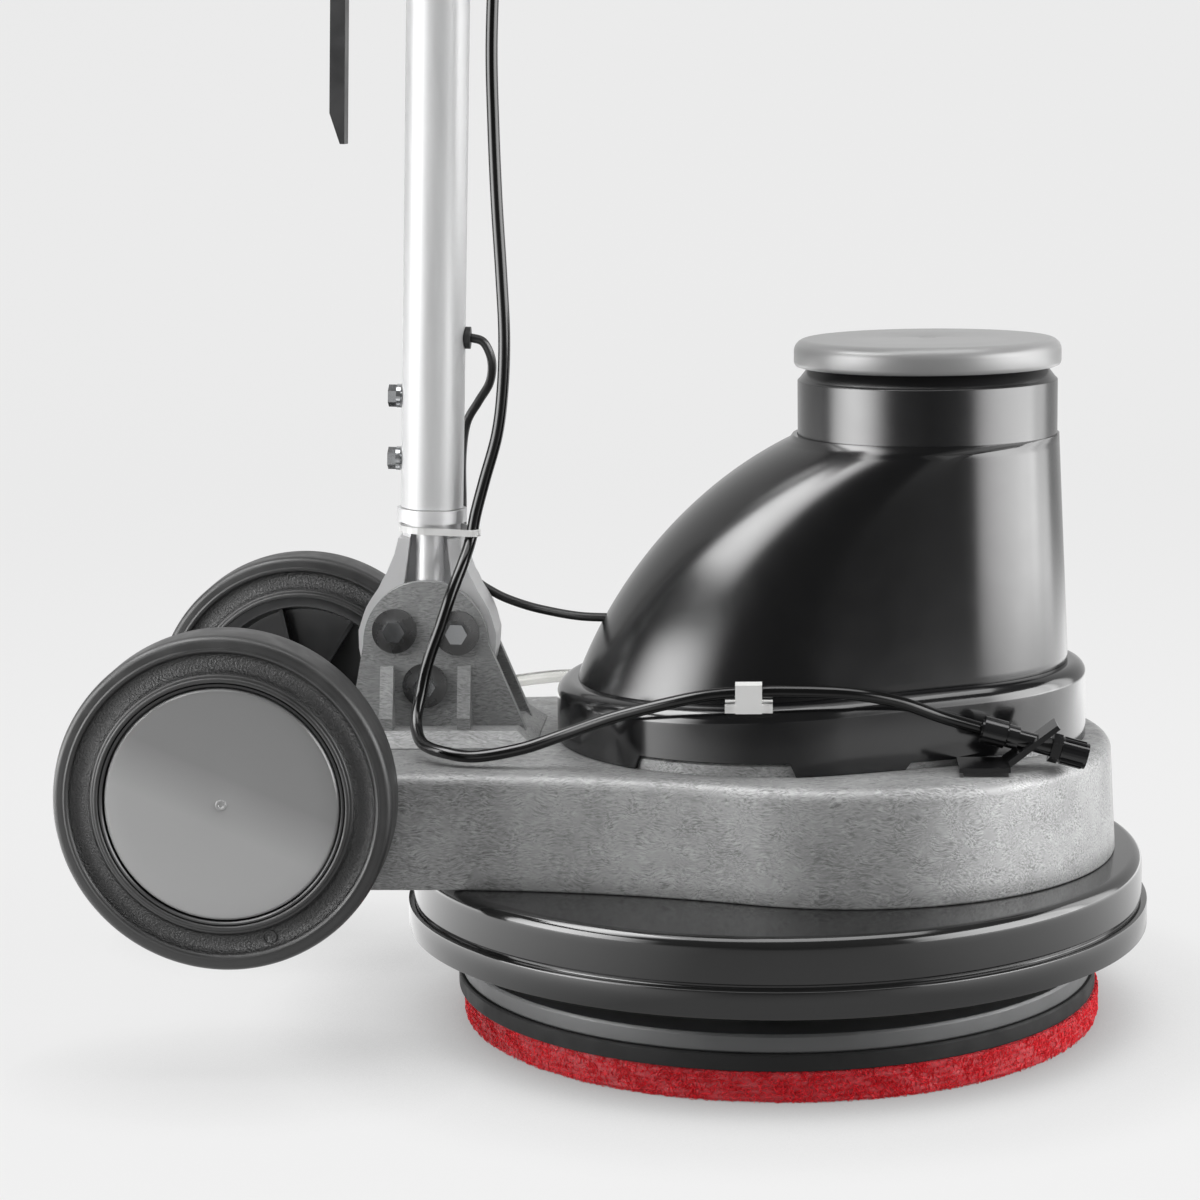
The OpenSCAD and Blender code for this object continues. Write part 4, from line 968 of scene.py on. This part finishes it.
def fade_to_sides(data, power):
    """Makes a light brightest along its middle, fading to its left and right sides."""
    data.use_nodes = True
    s = Tree(data.node_tree)
    axes = s.node("ShaderNodeSeparateXYZ")
    s.link(s.node("ShaderNodeNewGeometry").outputs["Parametric"], axes.inputs[0])
    across = axes.outputs[0]
    hump = s.calc("MULTIPLY", s.calc("MULTIPLY", across, s.calc("SUBTRACT", 1.0, across)), 4.0)
    fade = s.calc("POWER", s.calc("MAXIMUM", hump, 0.0), power)
    s.link(fade, s.tree.nodes["Emission"].inputs["Strength"])


def softbox(name, place, target, size, watts, lit=True, mirrored=True, soft=0.0):
    """A rectangular light; it can leave out its light on matt surfaces or its reflection."""
    data = bpy.data.lights.new(name, "AREA")
    data.shape = "RECTANGLE"
    data.size, data.size_y = size
    data.energy = watts
    if soft:
        fade_to_sides(data, soft)
    obj = bpy.data.objects.new(name, data)
    obj.location = place
    obj.rotation_euler = (Vector(target) - Vector(place)).to_track_quat("-Z", "Y").to_euler()
    obj.visible_diffuse = lit
    obj.visible_glossy = mirrored
    bpy.context.scene.collection.objects.link(obj)


def round_about(azimuth, distance, height):
    """A place at an azimuth from straight in front, positive to the right."""
    return distance * sind(azimuth), -distance * cosd(azimuth), height


def side_panel(name, place, target, size, watts, soft):
    """A panel that is seen only in reflections; its place is an azimuth, a distance and a height."""
    softbox(name, round_about(*place), target, size, watts, lit=False, soft=soft)


def make_world():
    world = bpy.data.worlds.new("studio")
    world.use_nodes = True
    background = world.node_tree.nodes["Background"]
    background.inputs["Color"].default_value = (0.9, 0.9, 0.9, 1)
    background.inputs["Strength"].default_value = 0.17
    bpy.context.scene.world = world
    bpy.context.scene.view_settings.view_transform = "Standard"


def make_lights():
    """Three lights that light the matt surfaces, and four panels seen only in reflections."""
    softbox("top_box", (0.1, -0.3, 2.7), (0, 0, 0.2), (2.4, 1.6), 62)
    softbox("left_light", round_about(-65, 2.3, 1.1), (-0.1, 0, 0.35), (0.9, 1.9), 26, mirrored=False)
    softbox("right_light", round_about(72, 2.2, 1.0), (0.1, 0, 0.25), (0.9, 1.8), 34, mirrored=False)
    side_panel("left_panel", (-66, 2.2, 0.68), (0.05, 0, 0.68), (2.97, 1.34), 180, soft=1.9)
    side_panel("upper_left_panel", (-80, 1.6, 2.3), (0, 0, 0.3), (2.4, 1.3), 150, soft=1.0)
    side_panel("right_panel", (72, 2.2, 0.9), (0.1, 0, 0.9), (2.75, 1.76), 165, soft=0.6)
    side_panel("right_rear_panel", (108, 2.2, 0.9), (0.1, 0, 0.9), (1.1, 1.76), 26, soft=0.4)


make_stage()
make_world()
make_lights()
